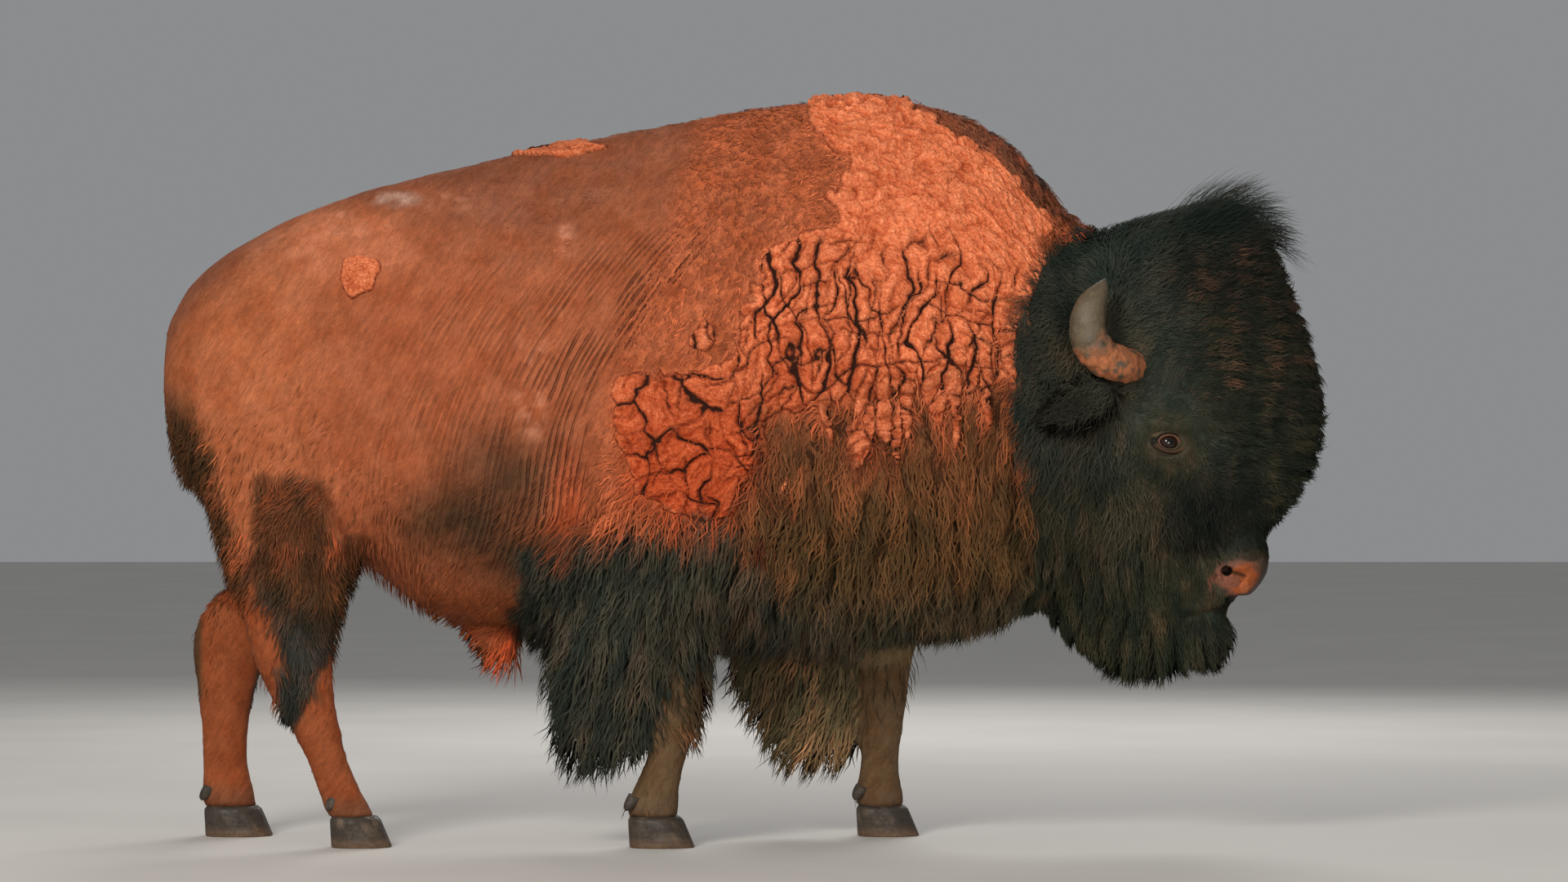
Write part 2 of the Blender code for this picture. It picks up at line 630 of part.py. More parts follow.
def build():
    """The whole animal: one coated body first, then what is set into it, then its parting into nodes."""
    for old in list(bpy.data.objects):
        bpy.data.objects.remove(old)
    bison = bpy.data.collections.new("bison")
    bpy.context.scene.collection.children.link(bison)
    finish = {name: material(name, *values) for name, values in FINISHES.items()}
    dark, brown, red = finish["dark_wool"], finish["brown_hair"], finish["red_hair"]

    body = whole_body(bison)
    horns(body, bison, finish["horn"])
    ears(body, bison, dark)
    tail(body, bison, brown)
    eyes_and_sockets(body, bison, finish["eye"])
    for cut in LEG_CUTS:
        upper = carve(body, "leg_" + cut.name, cut.size, cut.middle, bison)
        pair = cut.name.split("_")[0]
        lower = cut_away(upper, "shin_" + cut.name, cut.joint, JOINT_NORMALS[pair], bison)
        dress(upper, dark if pair == "fore" else red)
        dress(lower, brown)
    head = cut_away(body, "head", *HEAD_CUT, bison)
    beard = cut_away(head, "beard", *BEARD_CUT, bison)
    muzzle = cut_away(head, "muzzle", *MUZZLE_CUT, bison)
    neck = cut_away(body, "neck", *NECK_CUT, bison)
    barrel = cut_away(body, "barrel", *BARREL_CUT, bison)
    rump = cut_away(barrel, "hindquarters", *HIND_CUT, bison)
    sheath = cut_away(barrel, "sheath", *SHEATH_CUT, bison)
    body.name = "forequarters"
    for piece, coat in (
        (head, dark),
        (beard, dark),
        (muzzle, finish["nose_leather"]),
        (neck, brown),
        (barrel, red),
        (rump, red),
        (sheath, red),
        (body, red),
    ):
        dress(piece, coat)
    legs = (FORE_RIGHT, FORE_LEFT, HIND_RIGHT, HIND_LEFT)
    for cut, leg in zip(LEG_CUTS, legs, strict=True):
        end = leg[-1]
        hoof("hoof_" + cut.name, end.high, end.low, end.half, end.side, bison, finish["hoof"])


build()
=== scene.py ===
"""Looks of a life-size bull bison: its skin, its wool and hair as solid tufts, its eyes, horns and hooves.

Metres, +X from the rump to the forehead, +Y to the animal's left, +Z up, floor at z = 0. The skin is a stack
of egg-shaped slices under the coat, merged into one surface and then modelled by height formulas. Hair is
thousands of tapered tufts that start on the skin and follow the combing given in COMB.
"""

import itertools
import math
from collections import namedtuple

import bmesh
import bpy
import numpy as np
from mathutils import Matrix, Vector


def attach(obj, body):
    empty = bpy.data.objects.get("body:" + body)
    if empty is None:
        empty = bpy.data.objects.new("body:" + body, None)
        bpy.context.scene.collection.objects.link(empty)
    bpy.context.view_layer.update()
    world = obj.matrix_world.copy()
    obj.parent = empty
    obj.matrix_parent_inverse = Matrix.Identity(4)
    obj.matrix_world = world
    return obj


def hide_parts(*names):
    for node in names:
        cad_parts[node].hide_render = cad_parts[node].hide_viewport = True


bl_info = {
    "name": "Bison",
    "version": (1, 0, 0),
    "blender": (4, 5, 0),
    "location": "3D View > Sidebar > Bison",
    "description": "Skin, coat, eyes, horns and hooves of a life-size bull bison",
    "category": "Object",
}

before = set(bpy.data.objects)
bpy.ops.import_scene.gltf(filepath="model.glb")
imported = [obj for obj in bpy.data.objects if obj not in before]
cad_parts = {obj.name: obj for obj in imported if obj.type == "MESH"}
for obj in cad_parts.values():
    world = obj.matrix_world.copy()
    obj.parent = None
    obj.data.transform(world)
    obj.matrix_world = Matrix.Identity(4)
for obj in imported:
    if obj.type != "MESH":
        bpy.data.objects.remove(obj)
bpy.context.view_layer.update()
BODY = "root"
SEED = 20

# ---- sizes of the body
# A slice is closed and egg-shaped. On the trunk, at is x, and high and low are its top and underside. On head
# and legs, at is z, and high and low are its front and back. half is the half width across, widest is where
# that lies, side is the slice's centre across the animal, ridge narrows the high end, and coat is how deep
# the skin lies under the tips of the hair.
Slice = namedtuple("Slice", "at high low half widest side ridge coat", defaults=(0.0, 1.0, 0.004))


def slices(*rows):
    """Slices from rows of their numbers, whose last few may be left out."""
    return tuple(Slice(*row) for row in rows)


TRUNK = slices(
    (-1.402, 1.205, 1.07, 0.05, 1.14, 0.0, 1.0),
    (-1.386, 1.268, 0.985, 0.125, 1.12, 0.0, 1.0),
    (-1.335, 1.352, 0.88, 0.2, 1.11, 0.0, 1.05),
    (-1.24, 1.436, 0.77, 0.25, 1.12, 0.0, 1.1),
    (-1.08, 1.52, 0.705, 0.272, 1.13, 0.0, 1.15),
    (-0.92, 1.581, 0.668, 0.278, 1.08, 0.0, 1.2),
    (-0.8, 1.612, 0.578, 0.298, 1.01, 0.0, 1.25),
    (-0.69, 1.64, 0.528, 0.318, 0.97, 0.0, 1.28),
    (-0.46, 1.692, 0.516, 0.346, 0.93, 0.0, 1.35, 0.006),
    (-0.2, 1.751, 0.508, 0.36, 0.92, 0.0, 1.42, 0.014),
    (0.06, 1.806, 0.502, 0.366, 0.94, 0.0, 1.5, 0.023),
    (0.29, 1.828, 0.497, 0.36, 0.95, 0.0, 1.5, 0.028),
    (0.49, 1.806, 0.512, 0.335, 0.96, 0.0, 1.4, 0.03),
    (0.635, 1.73, 0.54, 0.3, 0.97, 0.0, 1.25, 0.034),
    (0.725, 1.634, 0.55, 0.27, 0.98, 0.0, 1.15, 0.04),
    (0.81, 1.545, 0.56, 0.24, 0.99, 0.0, 1.1, 0.045),
    (0.9, 1.5, 0.62, 0.195, 1.0, 0.0, 1.1, 0.045),
)
CROWN = slices(
    (1.536, 1.19, 1.12, 0.045, 1.16, 0.0, 1.0, 0.02),
    (1.522, 1.228, 1.04, 0.1, 1.15, 0.0, 1.0, 0.034),
    (1.5, 1.262, 0.95, 0.15, 1.12, 0.0, 1.0, 0.04),
    (1.466, 1.292, 0.82, 0.2, 1.08, 0.0, 1.0, 0.048),
    (1.41, 1.326, 0.75, 0.222, 1.03, 0.0, 1.0, 0.046),
    (1.33, 1.354, 0.705, 0.232, 1.0, 0.0, 1.0, 0.044),
    (1.24, 1.39, 0.672, 0.236, 0.99, 0.0, 1.0, 0.042),
    (1.15, 1.416, 0.658, 0.232, 0.98, 0.0, 1.0, 0.04),
    (1.07, 1.427, 0.655, 0.222, 0.97, 0.0, 1.0, 0.036),
    (0.99, 1.42, 0.66, 0.208, 0.96, 0.0, 1.0, 0.032),
    (0.92, 1.398, 0.67, 0.196, 0.95, 0.0, 1.0, 0.03),
    (0.85, 1.36, 0.68, 0.186, 0.93, 0.0, 1.0, 0.028),
    (0.79, 1.318, 0.69, 0.174, 0.92, 0.0, 1.0, 0.026),
    (0.74, 1.276, 0.7, 0.16, 0.91, 0.0, 1.0, 0.024),
)
MUZZLE = slices(
    (0.84, 1.24, 0.98, 0.104, 1.12, 0.0, 0.8),
    (0.78, 1.256, 0.99, 0.098, 1.14, 0.0, 0.8),
    (0.72, 1.27, 1.01, 0.094, 1.16, 0.0, 0.72),
    (0.68, 1.276, 1.025, 0.092, 1.17, 0.0, 0.68),
    (0.64, 1.266, 1.04, 0.088, 1.16, 0.0, 0.7),
    (0.605, 1.236, 1.05, 0.078, 1.14, 0.0, 0.75),
    (0.578, 1.19, 1.07, 0.06, 1.12, 0.0, 0.8),
)
BEARD = slices(
    (0.8, 1.19, 0.69, 0.17, 0.91, 0.0, 1.0, 0.034),
    (0.72, 1.2, 0.69, 0.164, 0.915, 0.0, 1.0, 0.034),
    (0.65, 1.18, 0.695, 0.156, 0.92, 0.0, 1.0, 0.034),
    (0.595, 1.15, 0.7, 0.146, 0.93, 0.0, 1.0, 0.034),
    (0.552, 1.2, 0.715, 0.13, 0.97, 0.0, 1.0, 0.034),
    (0.505, 1.208, 0.755, 0.114, 1.0, 0.0, 1.0, 0.036),
    (0.455, 1.182, 0.812, 0.094, 1.01, 0.0, 1.0, 0.038),
)
SHEATH = slices(
    (0.58, -0.49, -0.74, 0.06, -0.62),
    (0.52, -0.53, -0.69, 0.045, -0.61),
    (0.47, -0.54, -0.65, 0.034, -0.595),
    (0.43, -0.548, -0.616, 0.022, -0.583),
)
HIND_RIGHT = slices(
    (1.15, -0.9, -1.34, 0.115, -1.13, -0.14),
    (1.0, -0.865, -1.342, 0.128, -1.11, -0.15),
    (0.87, -0.87, -1.296, 0.124, -1.09, -0.16),
    (0.76, -0.89, -1.266, 0.11, -1.07, -0.168),
    (0.65, -0.93, -1.232, 0.092, -1.08, -0.176),
    (0.56, -0.958, -1.206, 0.078, -1.08, -0.18),
    (0.49, -0.972, -1.19, 0.068, -1.08, -0.18),
    (0.436, -0.974, -1.172, 0.062, -1.07, -0.18),
    (0.349, -0.974, -1.13, 0.054, -1.04, -0.18),
    (0.285, -0.96, -1.09, 0.049, -1.02, -0.18),
    (0.2, -0.938, -1.046, 0.045, -0.99, -0.18),
    (0.136, -0.912, -1.022, 0.048, -0.965, -0.182),
    (0.095, -0.888, -1.008, 0.052, -0.945, -0.184),
    (0.066, -0.872, -0.992, 0.053, -0.93, -0.185),
)
HIND_LEFT = slices(
    (1.15, -0.92, -1.345, 0.115, -1.14, 0.14),
    (1.0, -0.9, -1.36, 0.128, -1.13, 0.15),
    (0.87, -0.905, -1.316, 0.124, -1.12, 0.16),
    (0.76, -0.96, -1.284, 0.108, -1.13, 0.168),
    (0.65, -1.05, -1.262, 0.086, -1.16, 0.176),
    (0.578, -1.1, -1.312, 0.074, -1.2, 0.18),
    (0.518, -1.136, -1.352, 0.068, -1.23, 0.18),
    (0.44, -1.17, -1.362, 0.062, -1.25, 0.18),
    (0.363, -1.196, -1.35, 0.056, -1.265, 0.18),
    (0.287, -1.212, -1.341, 0.051, -1.27, 0.18),
    (0.2, -1.217, -1.338, 0.047, -1.272, 0.18),
    (0.136, -1.208, -1.338, 0.05, -1.268, 0.182),
    (0.095, -1.198, -1.34, 0.054, -1.262, 0.184),
    (0.066, -1.192, -1.332, 0.054, -1.258, 0.185),
)
FORE_RIGHT = slices(
    (0.64, -0.07, -0.26, 0.088, -0.165, -0.195),
    (0.45, -0.088, -0.236, 0.07, -0.165, -0.195),
    (0.336, -0.096, -0.226, 0.06, -0.162, -0.192),
    (0.27, -0.112, -0.228, 0.05, -0.172, -0.19),
    (0.2, -0.134, -0.24, 0.046, -0.19, -0.19),
    (0.15, -0.148, -0.264, 0.049, -0.204, -0.19),
    (0.105, -0.15, -0.282, 0.054, -0.212, -0.19),
    (0.066, -0.148, -0.28, 0.055, -0.21, -0.19),
)
FORE_LEFT = slices(
    (0.64, 0.43, 0.18, 0.088, 0.3, 0.195),
    (0.463, 0.418, 0.24, 0.072, 0.33, 0.195),
    (0.34, 0.404, 0.272, 0.06, 0.34, 0.192),
    (0.26, 0.394, 0.28, 0.05, 0.336, 0.19),
    (0.19, 0.386, 0.28, 0.046, 0.333, 0.19),
    (0.14, 0.388, 0.272, 0.049, 0.33, 0.19),
    (0.105, 0.394, 0.268, 0.054, 0.332, 0.19),
    (0.066, 0.398, 0.27, 0.055, 0.336, 0.19),
)
CHAPS_RIGHT = slices(
    (0.93, 0.08, -0.33, 0.105, -0.12, -0.212, 1.0, 0.016),
    (0.78, 0.036, -0.35, 0.118, -0.15, -0.22, 1.0, 0.024),
    (0.66, 0.0, -0.418, 0.12, -0.18, -0.216, 1.0, 0.034),
    (0.56, -0.03, -0.456, 0.116, -0.2, -0.21, 1.0, 0.04),
    (0.466, -0.04, -0.488, 0.108, -0.22, -0.206, 1.0, 0.044),
    (0.39, -0.06, -0.482, 0.098, -0.23, -0.2, 1.0, 0.044),
    (0.32, -0.1, -0.464, 0.086, -0.26, -0.196, 1.0, 0.044),
    (0.25, -0.15, -0.446, 0.07, -0.28, -0.192, 1.0, 0.04),
)
CHAPS_LEFT = slices(
    (0.93, 0.43, 0.02, 0.105, 0.23, 0.212, 1.0, 0.016),
    (0.78, 0.446, -0.014, 0.118, 0.23, 0.22, 1.0, 0.024),
    (0.66, 0.444, -0.036, 0.12, 0.22, 0.216, 1.0, 0.034),
    (0.56, 0.426, -0.05, 0.116, 0.21, 0.21, 1.0, 0.04),
    (0.468, 0.412, -0.056, 0.106, 0.22, 0.206, 1.0, 0.044),
    (0.39, 0.396, -0.018, 0.096, 0.23, 0.2, 1.0, 0.044),
    (0.32, 0.37, 0.02, 0.084, 0.23, 0.196, 1.0, 0.044),
    (0.226, 0.32, 0.074, 0.066, 0.23, 0.192, 1.0, 0.04),
)
TRUNK_UNDERSIDE = 0.86
TAIL_PATH = (
    (-1.23, 0.0, 1.405),
    (-1.322, 0.006, 1.336),
    (-1.374, 0.014, 1.235),
    (-1.396, 0.022, 1.1),
    (-1.382, 0.03, 0.97),
    (-1.342, 0.036, 0.86),
)
TAIL_RADII = (0.028, 0.027, 0.02, 0.016, 0.015, 0.012)
HORN_PATH = (
    (1.0, 0.06, 1.148),
    (0.956, 0.14, 1.149),
    (0.916, 0.23, 1.154),
    (0.868, 0.272, 1.176),
    (0.842, 0.292, 1.226),
    (0.848, 0.294, 1.284),
    (0.872, 0.278, 1.33),
    (0.884, 0.268, 1.356),
)
HORN_RADII = (0.038, 0.04, 0.043, 0.044, 0.044, 0.0375, 0.02, 0.002)
HEAD_PIVOT = np.array((0.8, 0.0, 0.0))
HEAD_YAW = math.radians(-5)
SIDES = (("right", -1), ("left", 1))
EYE = np.array((1.028, 0.17, 0.966))  # in the straight head, on its left
EYE_RADIUS = 0.026
EAR_BASE = np.array((0.905, 0.176, 1.098))
EAR_TIP = np.array((0.762, 0.278, 1.026))
NOSTRIL = np.array((1.17, 0.086, 0.658))

SKIN_VOXEL = 0.0125
RING = 56  # points round a slice
ROW_STEP = 0.034  # between the level rows of the forehead's wool
LOCK_WIDTH = 0.052  # of a hanging lock
LOCK_RIDGE = 0.014  # height of the skin's ridge under a lock
TONGUE_DROP = 0.25  # how far the cape's edge hangs in tongues
MAT_THICKNESS = (0.011, 0.019)  # at the mat's front and back ends, and in its middle
NOSTRIL_HOLE = 0.013  # radius
BAKE_PATCH = 0.003  # side of a tuft's square on the unwrap
EAR_TUFTS = 2300

# ---- colours (linear)
DARK_WOOL = (0.024, 0.032, 0.025)
TEMPLE = (0.046, 0.044, 0.029)
CHEEK = (0.048, 0.041, 0.024)
# painted shade on the front of the face
FACE_SHADE = (0.009, 0.011, 0.008)
FOREHEAD = (0.016, 0.019, 0.011)
# painted light: the lighter brown on the crests of the forehead's rows, also the tint of its tips
CREST_LIGHT = (0.046, 0.025, 0.016)
BEARD_HAIR = (0.027, 0.03, 0.016)
CHIN_HAIR = (0.019, 0.025, 0.016)
MUZZLE_HAIR = (0.012, 0.017, 0.01)
NOSE_SKIN = (0.31, 0.074, 0.02)
NOSE_PALE = (0.5, 0.14, 0.056)
# painted shade on the top plane of the muzzle
NOSE_TOP_SHADE = (0.066, 0.04, 0.024)
NOSE_BACK = (0.17, 0.06, 0.036)
# painted shade in the nose's slit, along the mouth and on the nose's rim
NOSE_SHADE = (0.022, 0.016, 0.008)
NOSE_GREY = (0.062, 0.052, 0.03)
# painted shade inside the nostrils
NOSTRIL_SHADE = (0.004, 0.003, 0.003)
LID_SKIN = (0.036, 0.042, 0.024)
LID_BROWN = (0.052, 0.04, 0.023)
LID_MARGIN = (0.17, 0.068, 0.036)
# painted shade in the grooves of the lids
LID_GROOVE_SHADE = (0.01, 0.008, 0.006)
LID_SHADOW = (0.01, 0.009, 0.007)
LID_RIM = (0.11, 0.085, 0.052)
LID_FOLD = (0.105, 0.045, 0.026)
LID_CORNER = (0.18, 0.06, 0.05)
LID_DUSTY = (0.15, 0.108, 0.056)
LID_FRONT = (0.095, 0.05, 0.032)
PUPIL = (0.0015, 0.0015, 0.002)
IRIS = (0.02, 0.009, 0.005)
EYE_WHITE = (0.02, 0.01, 0.008)
MANE_RED = (0.175, 0.053, 0.019)
MANE_MID = (0.168, 0.061, 0.022)
MANE_LOW = (0.11, 0.057, 0.021)
TONGUE = (0.52, 0.125, 0.046)
CHEST = (0.084, 0.062, 0.033)
CAPE = (0.75, 0.196, 0.078)
CAPE_LOW = (0.5, 0.086, 0.026)
# painted shade at the bottom of the cape's cracks
FISSURE_SHADE = (0.03, 0.01, 0.006)
SHOULDER = (0.405, 0.098, 0.036)
# painted shade on the front slope of the hump
HUMP_SHADE = (0.28, 0.086, 0.042)
RUMP = (0.32, 0.09, 0.033)
RUMP_TOP = (0.52, 0.175, 0.084)
FLANK = (0.292, 0.077, 0.029)
BACK = (0.2, 0.064, 0.031)
BELLY = (0.172, 0.038, 0.007)
SMOKE = (0.05, 0.024, 0.01)
DUST = (0.56, 0.22, 0.125)
CHALK = (0.43, 0.25, 0.18)
THIGH = (0.08, 0.035, 0.013)
THIGH_RED = (0.19, 0.046, 0.018)
LEG_HAIR = (0.04, 0.041, 0.029)
LEG_BROWN = (0.066, 0.054, 0.034)
# dusty hair on the far foreleg's inner side, partly painted light
LEG_DUST_AND_LIGHT = (0.175, 0.116, 0.056)
LEG_BLACK = (0.029, 0.031, 0.025)
CANNON = (0.24, 0.058, 0.018)
PASTERN = (0.1, 0.055, 0.03)
FORE_SKIN = (0.102, 0.057, 0.026)
SHEATH_SKIN = (0.36, 0.08, 0.028)
EAR_HAIR = (0.043, 0.042, 0.029)
HORN_GREY = (0.108, 0.08, 0.046)
HORN_DARK = (0.05, 0.046, 0.034)
CLAY = (0.42, 0.13, 0.044)
HOOF = (0.04, 0.03, 0.022)
HOOF_WORN = (0.11, 0.075, 0.048)
HOOF_MUD = (0.17, 0.095, 0.05)
FLOOR_GREY = (0.62, 0.6, 0.57)

# ---- where the coat changes, seen from the side
Border = namedtuple("Border", "seed corners")  # the seed is that of the noise which makes it ragged
CAPE_EDGE = Border(41, (
    (0.155, 1.9), (0.155, 1.775), (0.175, 1.707), (0.252, 1.63), (0.213, 1.552), (0.233, 1.494),
    (0.048, 1.436), (0.039, 1.358), (0.01, 1.28), (-0.029, 1.164), (-0.15, 1.13), (-0.291, 1.116),
    (-0.301, 1.048), (-0.272, 0.931), (-0.233, 0.834), (-0.116, 0.786), (-0.01, 0.786), (0.019, 0.854),
    (0.058, 0.931), (0.058, 1.028), (0.175, 1.038), (0.272, 1.067), (0.427, 1.086), (0.56, 1.12),
    (0.64, 1.2), (0.718, 1.377), (0.737, 1.494), (0.66, 1.6), (0.543, 1.698), (0.407, 1.765),
    (0.4, 1.9),
))
HEAD_EDGE = Border(71, (
    (0.86, 1.7), (0.846, 1.511), (0.739, 1.418), (0.661, 1.301), (0.632, 1.184), (0.642, 1.087),
    (0.681, 0.931), (0.705, 0.775), (0.671, 0.542), (0.66, 0.3), (1.6, 0.3), (1.6, 1.7),
))
FORELEG_EDGE = Border(61, (
    (-0.52, 0.69), (-0.34, 0.745), (-0.233, 0.8), (-0.116, 0.78), (-0.01, 0.78), (0.09, 0.66),
    (0.15, 0.6), (0.3, 0.56), (0.52, 0.54), (0.6, 0.0), (-0.6, 0.0),
))
MANE_EDGE = Border(51, (
    (0.058, 1.028), (0.058, 0.931), (0.019, 0.854), (-0.01, 0.786), (0.09, 0.66), (0.15, 0.56),
    (0.16, 0.4), (0.72, 0.4), (0.72, 0.775), (0.681, 0.931), (0.642, 1.087), (0.64, 1.22),
    (0.56, 1.12), (0.427, 1.086), (0.272, 1.067), (0.175, 1.038),
))
THIGH_EDGE = Border(81, (  # the near hind leg's dark hair; the other's is moved back by THIGH_SHIFT
    (-1.158, 0.881), (-1.075, 0.905), (-1.011, 0.881), (-0.961, 0.765), (-0.88, 0.69), (-0.9, 0.6),
    (-0.955, 0.545), (-1.008, 0.44), (-1.049, 0.333), (-1.078, 0.281), (-1.1, 0.333), (-1.113, 0.468),
    (-1.142, 0.584), (-1.177, 0.661), (-1.178, 0.702), (-1.158, 0.76),
))
THIGH_SHIFT = 0.13
SHOULDER_EDGE = Border(31, (
    (-0.07, 1.9), (-0.13, 1.64), (-0.23, 1.35), (-0.33, 1.1), (-0.35, 0.78), (-0.26, 0.7),
    (0.3, 0.7), (0.8, 1.1), (0.9, 1.55), (0.6, 1.9),
))

COMB = (  # x and z, which way the hair lies there (along, outwards, up), its length and its lift in degrees
    (-1.36, 1.15, -0.3, 0.0, -1.0, 0.018, 12),
    (-1.15, 1.45, -0.9, 0.0, -0.3, 0.016, 10),
    (-0.8, 1.5, -1.0, 0.0, -0.2, 0.016, 10),
    (-0.8, 1.0, -0.7, 0.0, -0.6, 0.017, 10),
    (-0.6, 0.62, -0.7, 0.0, -0.5, 0.026, 14),
    (-0.4, 1.62, -1.0, 0.0, -0.3, 0.02, 16),
    (-0.4, 1.1, -0.7, 0.0, -0.7, 0.018, 12),
    (-0.1, 1.45, -0.6, 0.0, -0.8, 0.02, 12),
    (0.1, 1.2, -0.4, 0.0, -0.9, 0.022, 16),
    (0.2, 1.78, -0.9, 0.1, -0.2, 0.024, 18),
    (0.62, 1.68, 0.2, 0.2, -0.9, 0.036, 24),
    (0.76, 1.55, 0.0, 0.3, -0.8, 0.044, 28),
    (0.6, 1.16, -0.3, 0.1, -1.0, 0.046, 16),
    (0.3, 0.98, -0.1, 0.0, -1.0, 0.06, 16),
    (0.5, 0.8, -0.1, 0.1, -1.0, 0.12, 24),
    (0.15, 0.8, -0.3, 0.0, -1.0, 0.09, 24),
    (0.3, 0.6, -0.3, 0.0, -1.0, 0.11, 20),
    (0.58, 0.58, -0.2, 0.0, -1.0, 0.08, 22),
    (1.38, 1.12, 1.0, 0.1, -0.22, 0.042, 26),
    (1.34, 0.86, 0.9, 0.1, -0.4, 0.04, 26),
    (1.2, 1.16, 1.0, 0.1, -0.1, 0.046, 20),
    (1.16, 0.95, 0.9, 0.1, -0.25, 0.04, 20),
    (1.22, 1.46, 0.9, 0.0, 0.2, 0.048, 24),
    (1.26, 1.5, 0.9, 0.0, 0.4, 0.05, 30),
    (1.0, 1.52, 0.9, 0.1, 0.25, 0.046, 30),
    (1.0, 1.34, 0.8, 0.1, 0.35, 0.048, 26),
    (0.8, 1.38, -0.5, 0.2, 0.4, 0.05, 30),
    (0.7, 1.16, -0.6, 0.2, -0.6, 0.06, 32),
    (0.76, 0.96, -0.5, 0.2, -0.8, 0.08, 26),
    (1.02, 1.06, 0.4, 0.1, 0.5, 0.022, 20),
    (1.03, 0.965, 0.1, 0.0, -1.0, 0.011, 22),
    (1.02, 0.88, 0.0, 0.1, -1.0, 0.026, 20),
    (0.9, 0.76, -0.2, 0.1, -1.0, 0.09, 22),
    (1.08, 0.76, 0.2, 0.1, -1.0, 0.048, 20),
    (1.2, 0.74, 0.4, 0.1, -0.9, 0.022, 18),
    (1.2, 0.66, 0.5, 0.1, -0.5, 0.007, 10),
    (1.225, 0.602, 0.2, 0.1, -1.0, 0.005, 8),
    (1.195, 0.59, 0.2, 0.1, -1.0, 0.007, 10),
    (1.08, 0.62, 0.1, 0.1, -1.0, 0.03, 18),
    (1.13, 0.59, -0.2, 0.1, -1.0, 0.024, 20),
    (0.72, 0.56, -0.2, 0.0, -1.0, 0.045, 16),
    (0.84, 0.5, -0.2, 0.0, -1.0, 0.045, 16),
    (0.97, 0.44, -0.1, 0.1, -1.0, 0.085, 18),
    (1.09, 0.46, 0.3, 0.1, -1.0, 0.06, 18),
    (1.18, 0.54, 1.0, 0.1, -0.55, 0.058, 26),
    (-0.24, 0.62, -0.4, 0.1, -1.0, 0.1, 24),
    (-0.38, 0.42, -0.5, 0.1, -1.0, 0.12, 26),
    (-0.36, 0.28, -0.4, 0.1, -1.0, 0.11, 24),
    (-0.08, 0.42, 0.3, 0.1, -1.0, 0.075, 24),
    (-0.12, 0.3, 0.4, 0.1, -1.0, 0.06, 24),
    (-0.16, 0.2, 0.0, 0.0, -1.0, 0.012, 10),
    (0.06, 0.42, -0.6, 0.1, -1.0, 0.12, 26),
    (0.2, 0.26, -0.5, 0.1, -1.0, 0.11, 24),
    (0.38, 0.5, -0.2, 0.1, -1.0, 0.07, 18),
    (0.36, 0.2, 0.0, 0.0, -1.0, 0.012, 10),
    (-1.08, 0.8, -0.5, 0.1, -0.8, 0.036, 26),
    (-1.27, 0.86, -0.6, 0.0, -1.0, 0.036, 30),
    (-1.24, 0.72, -0.6, 0.0, -1.0, 0.04, 30),
    (-1.04, 0.6, -0.3, 0.0, -1.0, 0.044, 18),
    (-1.09, 0.42, -0.1, 0.0, -1.0, 0.052, 14),
    (-0.93, 0.62, 0.5, 0.1, -1.0, 0.04, 24),
    (-1.0, 0.25, -0.1, 0.0, -1.0, 0.01, 8),
    (-1.33, 0.46, -0.3, 0.0, -1.0, 0.026, 16),
    (-1.22, 0.46, -0.1, 0.0, -1.0, 0.012, 8),
    (-1.27, 0.25, 0.0, 0.0, -1.0, 0.01, 8),
)


# ---- numbers
def eased(values, count):
    """Rows joined by a Catmull-Rom curve, the cubic whose slope at a row is half the step between its
    neighbours, sampled at count even steps of the row index."""
    rows = np.asarray(values, float)
    padded = np.vstack([2 * rows[0] - rows[1], rows, 2 * rows[-1] - rows[-2]])
    places = np.linspace(0, len(rows) - 1, count)
    index = np.minimum(places.astype(int), len(rows) - 2)
    t = (places - index)[:, None]
    a, b, c, d = (padded[index + k] for k in range(4))
    return 0.5 * (2 * b + (c - a) * t + (2 * a - 5 * b + 4 * c - d) * t**2 + (3 * b - a - 3 * c + d) * t**3)


def unit(vectors):
    """Vectors scaled to length 1."""
    return vectors / np.maximum(np.linalg.norm(vectors, axis=-1, keepdims=True), 1e-9)


def smooth(low, high, value):
    """0 below low, 1 above high, and the cubic 3t^2 - 2t^3 between."""
    t = np.clip((value - low) / (high - low), 0.0, 1.0)
    return t * t * (3.0 - 2.0 * t)


def mix(a, b, factor):
    """a where factor is 0 and b where it is 1, on numbers, colours or arrays of them."""
    a, b = np.asarray(a), np.asarray(b)
    return a + (b - a) * factor


def mound(u, v, wide, high):
    """A bell curve of two coordinates: e to the power of -(u / wide)^2 - (v / high)^2."""
    return np.exp(-((u / wide) ** 2) - (v / high) ** 2)


def around(count):
    """Even angles once round a circle."""
    return np.linspace(0, 2 * math.pi, count, endpoint=False)


def scrambled(*parts):
    """An even random number from 0 to 1 for each set of whole numbers, the same each time."""
    h = sum(part.astype(np.uint64) * np.uint64(odd) for part, odd in zip(parts, PRIMES, strict=False))
    for shift in (15, 13, 16):
        h = (h ^ (h >> np.uint64(shift))) * np.uint64(0x2C1B3C6D) & np.uint64(0xFFFFFFFF)
    return h.astype(float) / 0xFFFFFFFF


PRIMES = (73856093, 19349663, 83492791, 2971215073)


def noise(points, size, seed=0):
    """Value noise from -1 to 1: random numbers on a lattice of that cell size, blended by the cubic ease."""
    place = points / size + 500.0
    cell = np.floor(place).astype(np.int64)
    f = place - cell
    f = f * f * (3 - 2 * f)
    total = np.zeros(len(points))
    for corner in itertools.product((0, 1), repeat=3):
        c = cell + np.array(corner)
        share = np.prod(np.where(corner, f, 1 - f), axis=1)
        total += share * scrambled(c[:, 0], c[:, 1], c[:, 2], np.full(len(c), seed + 1))
    return 2 * total - 1


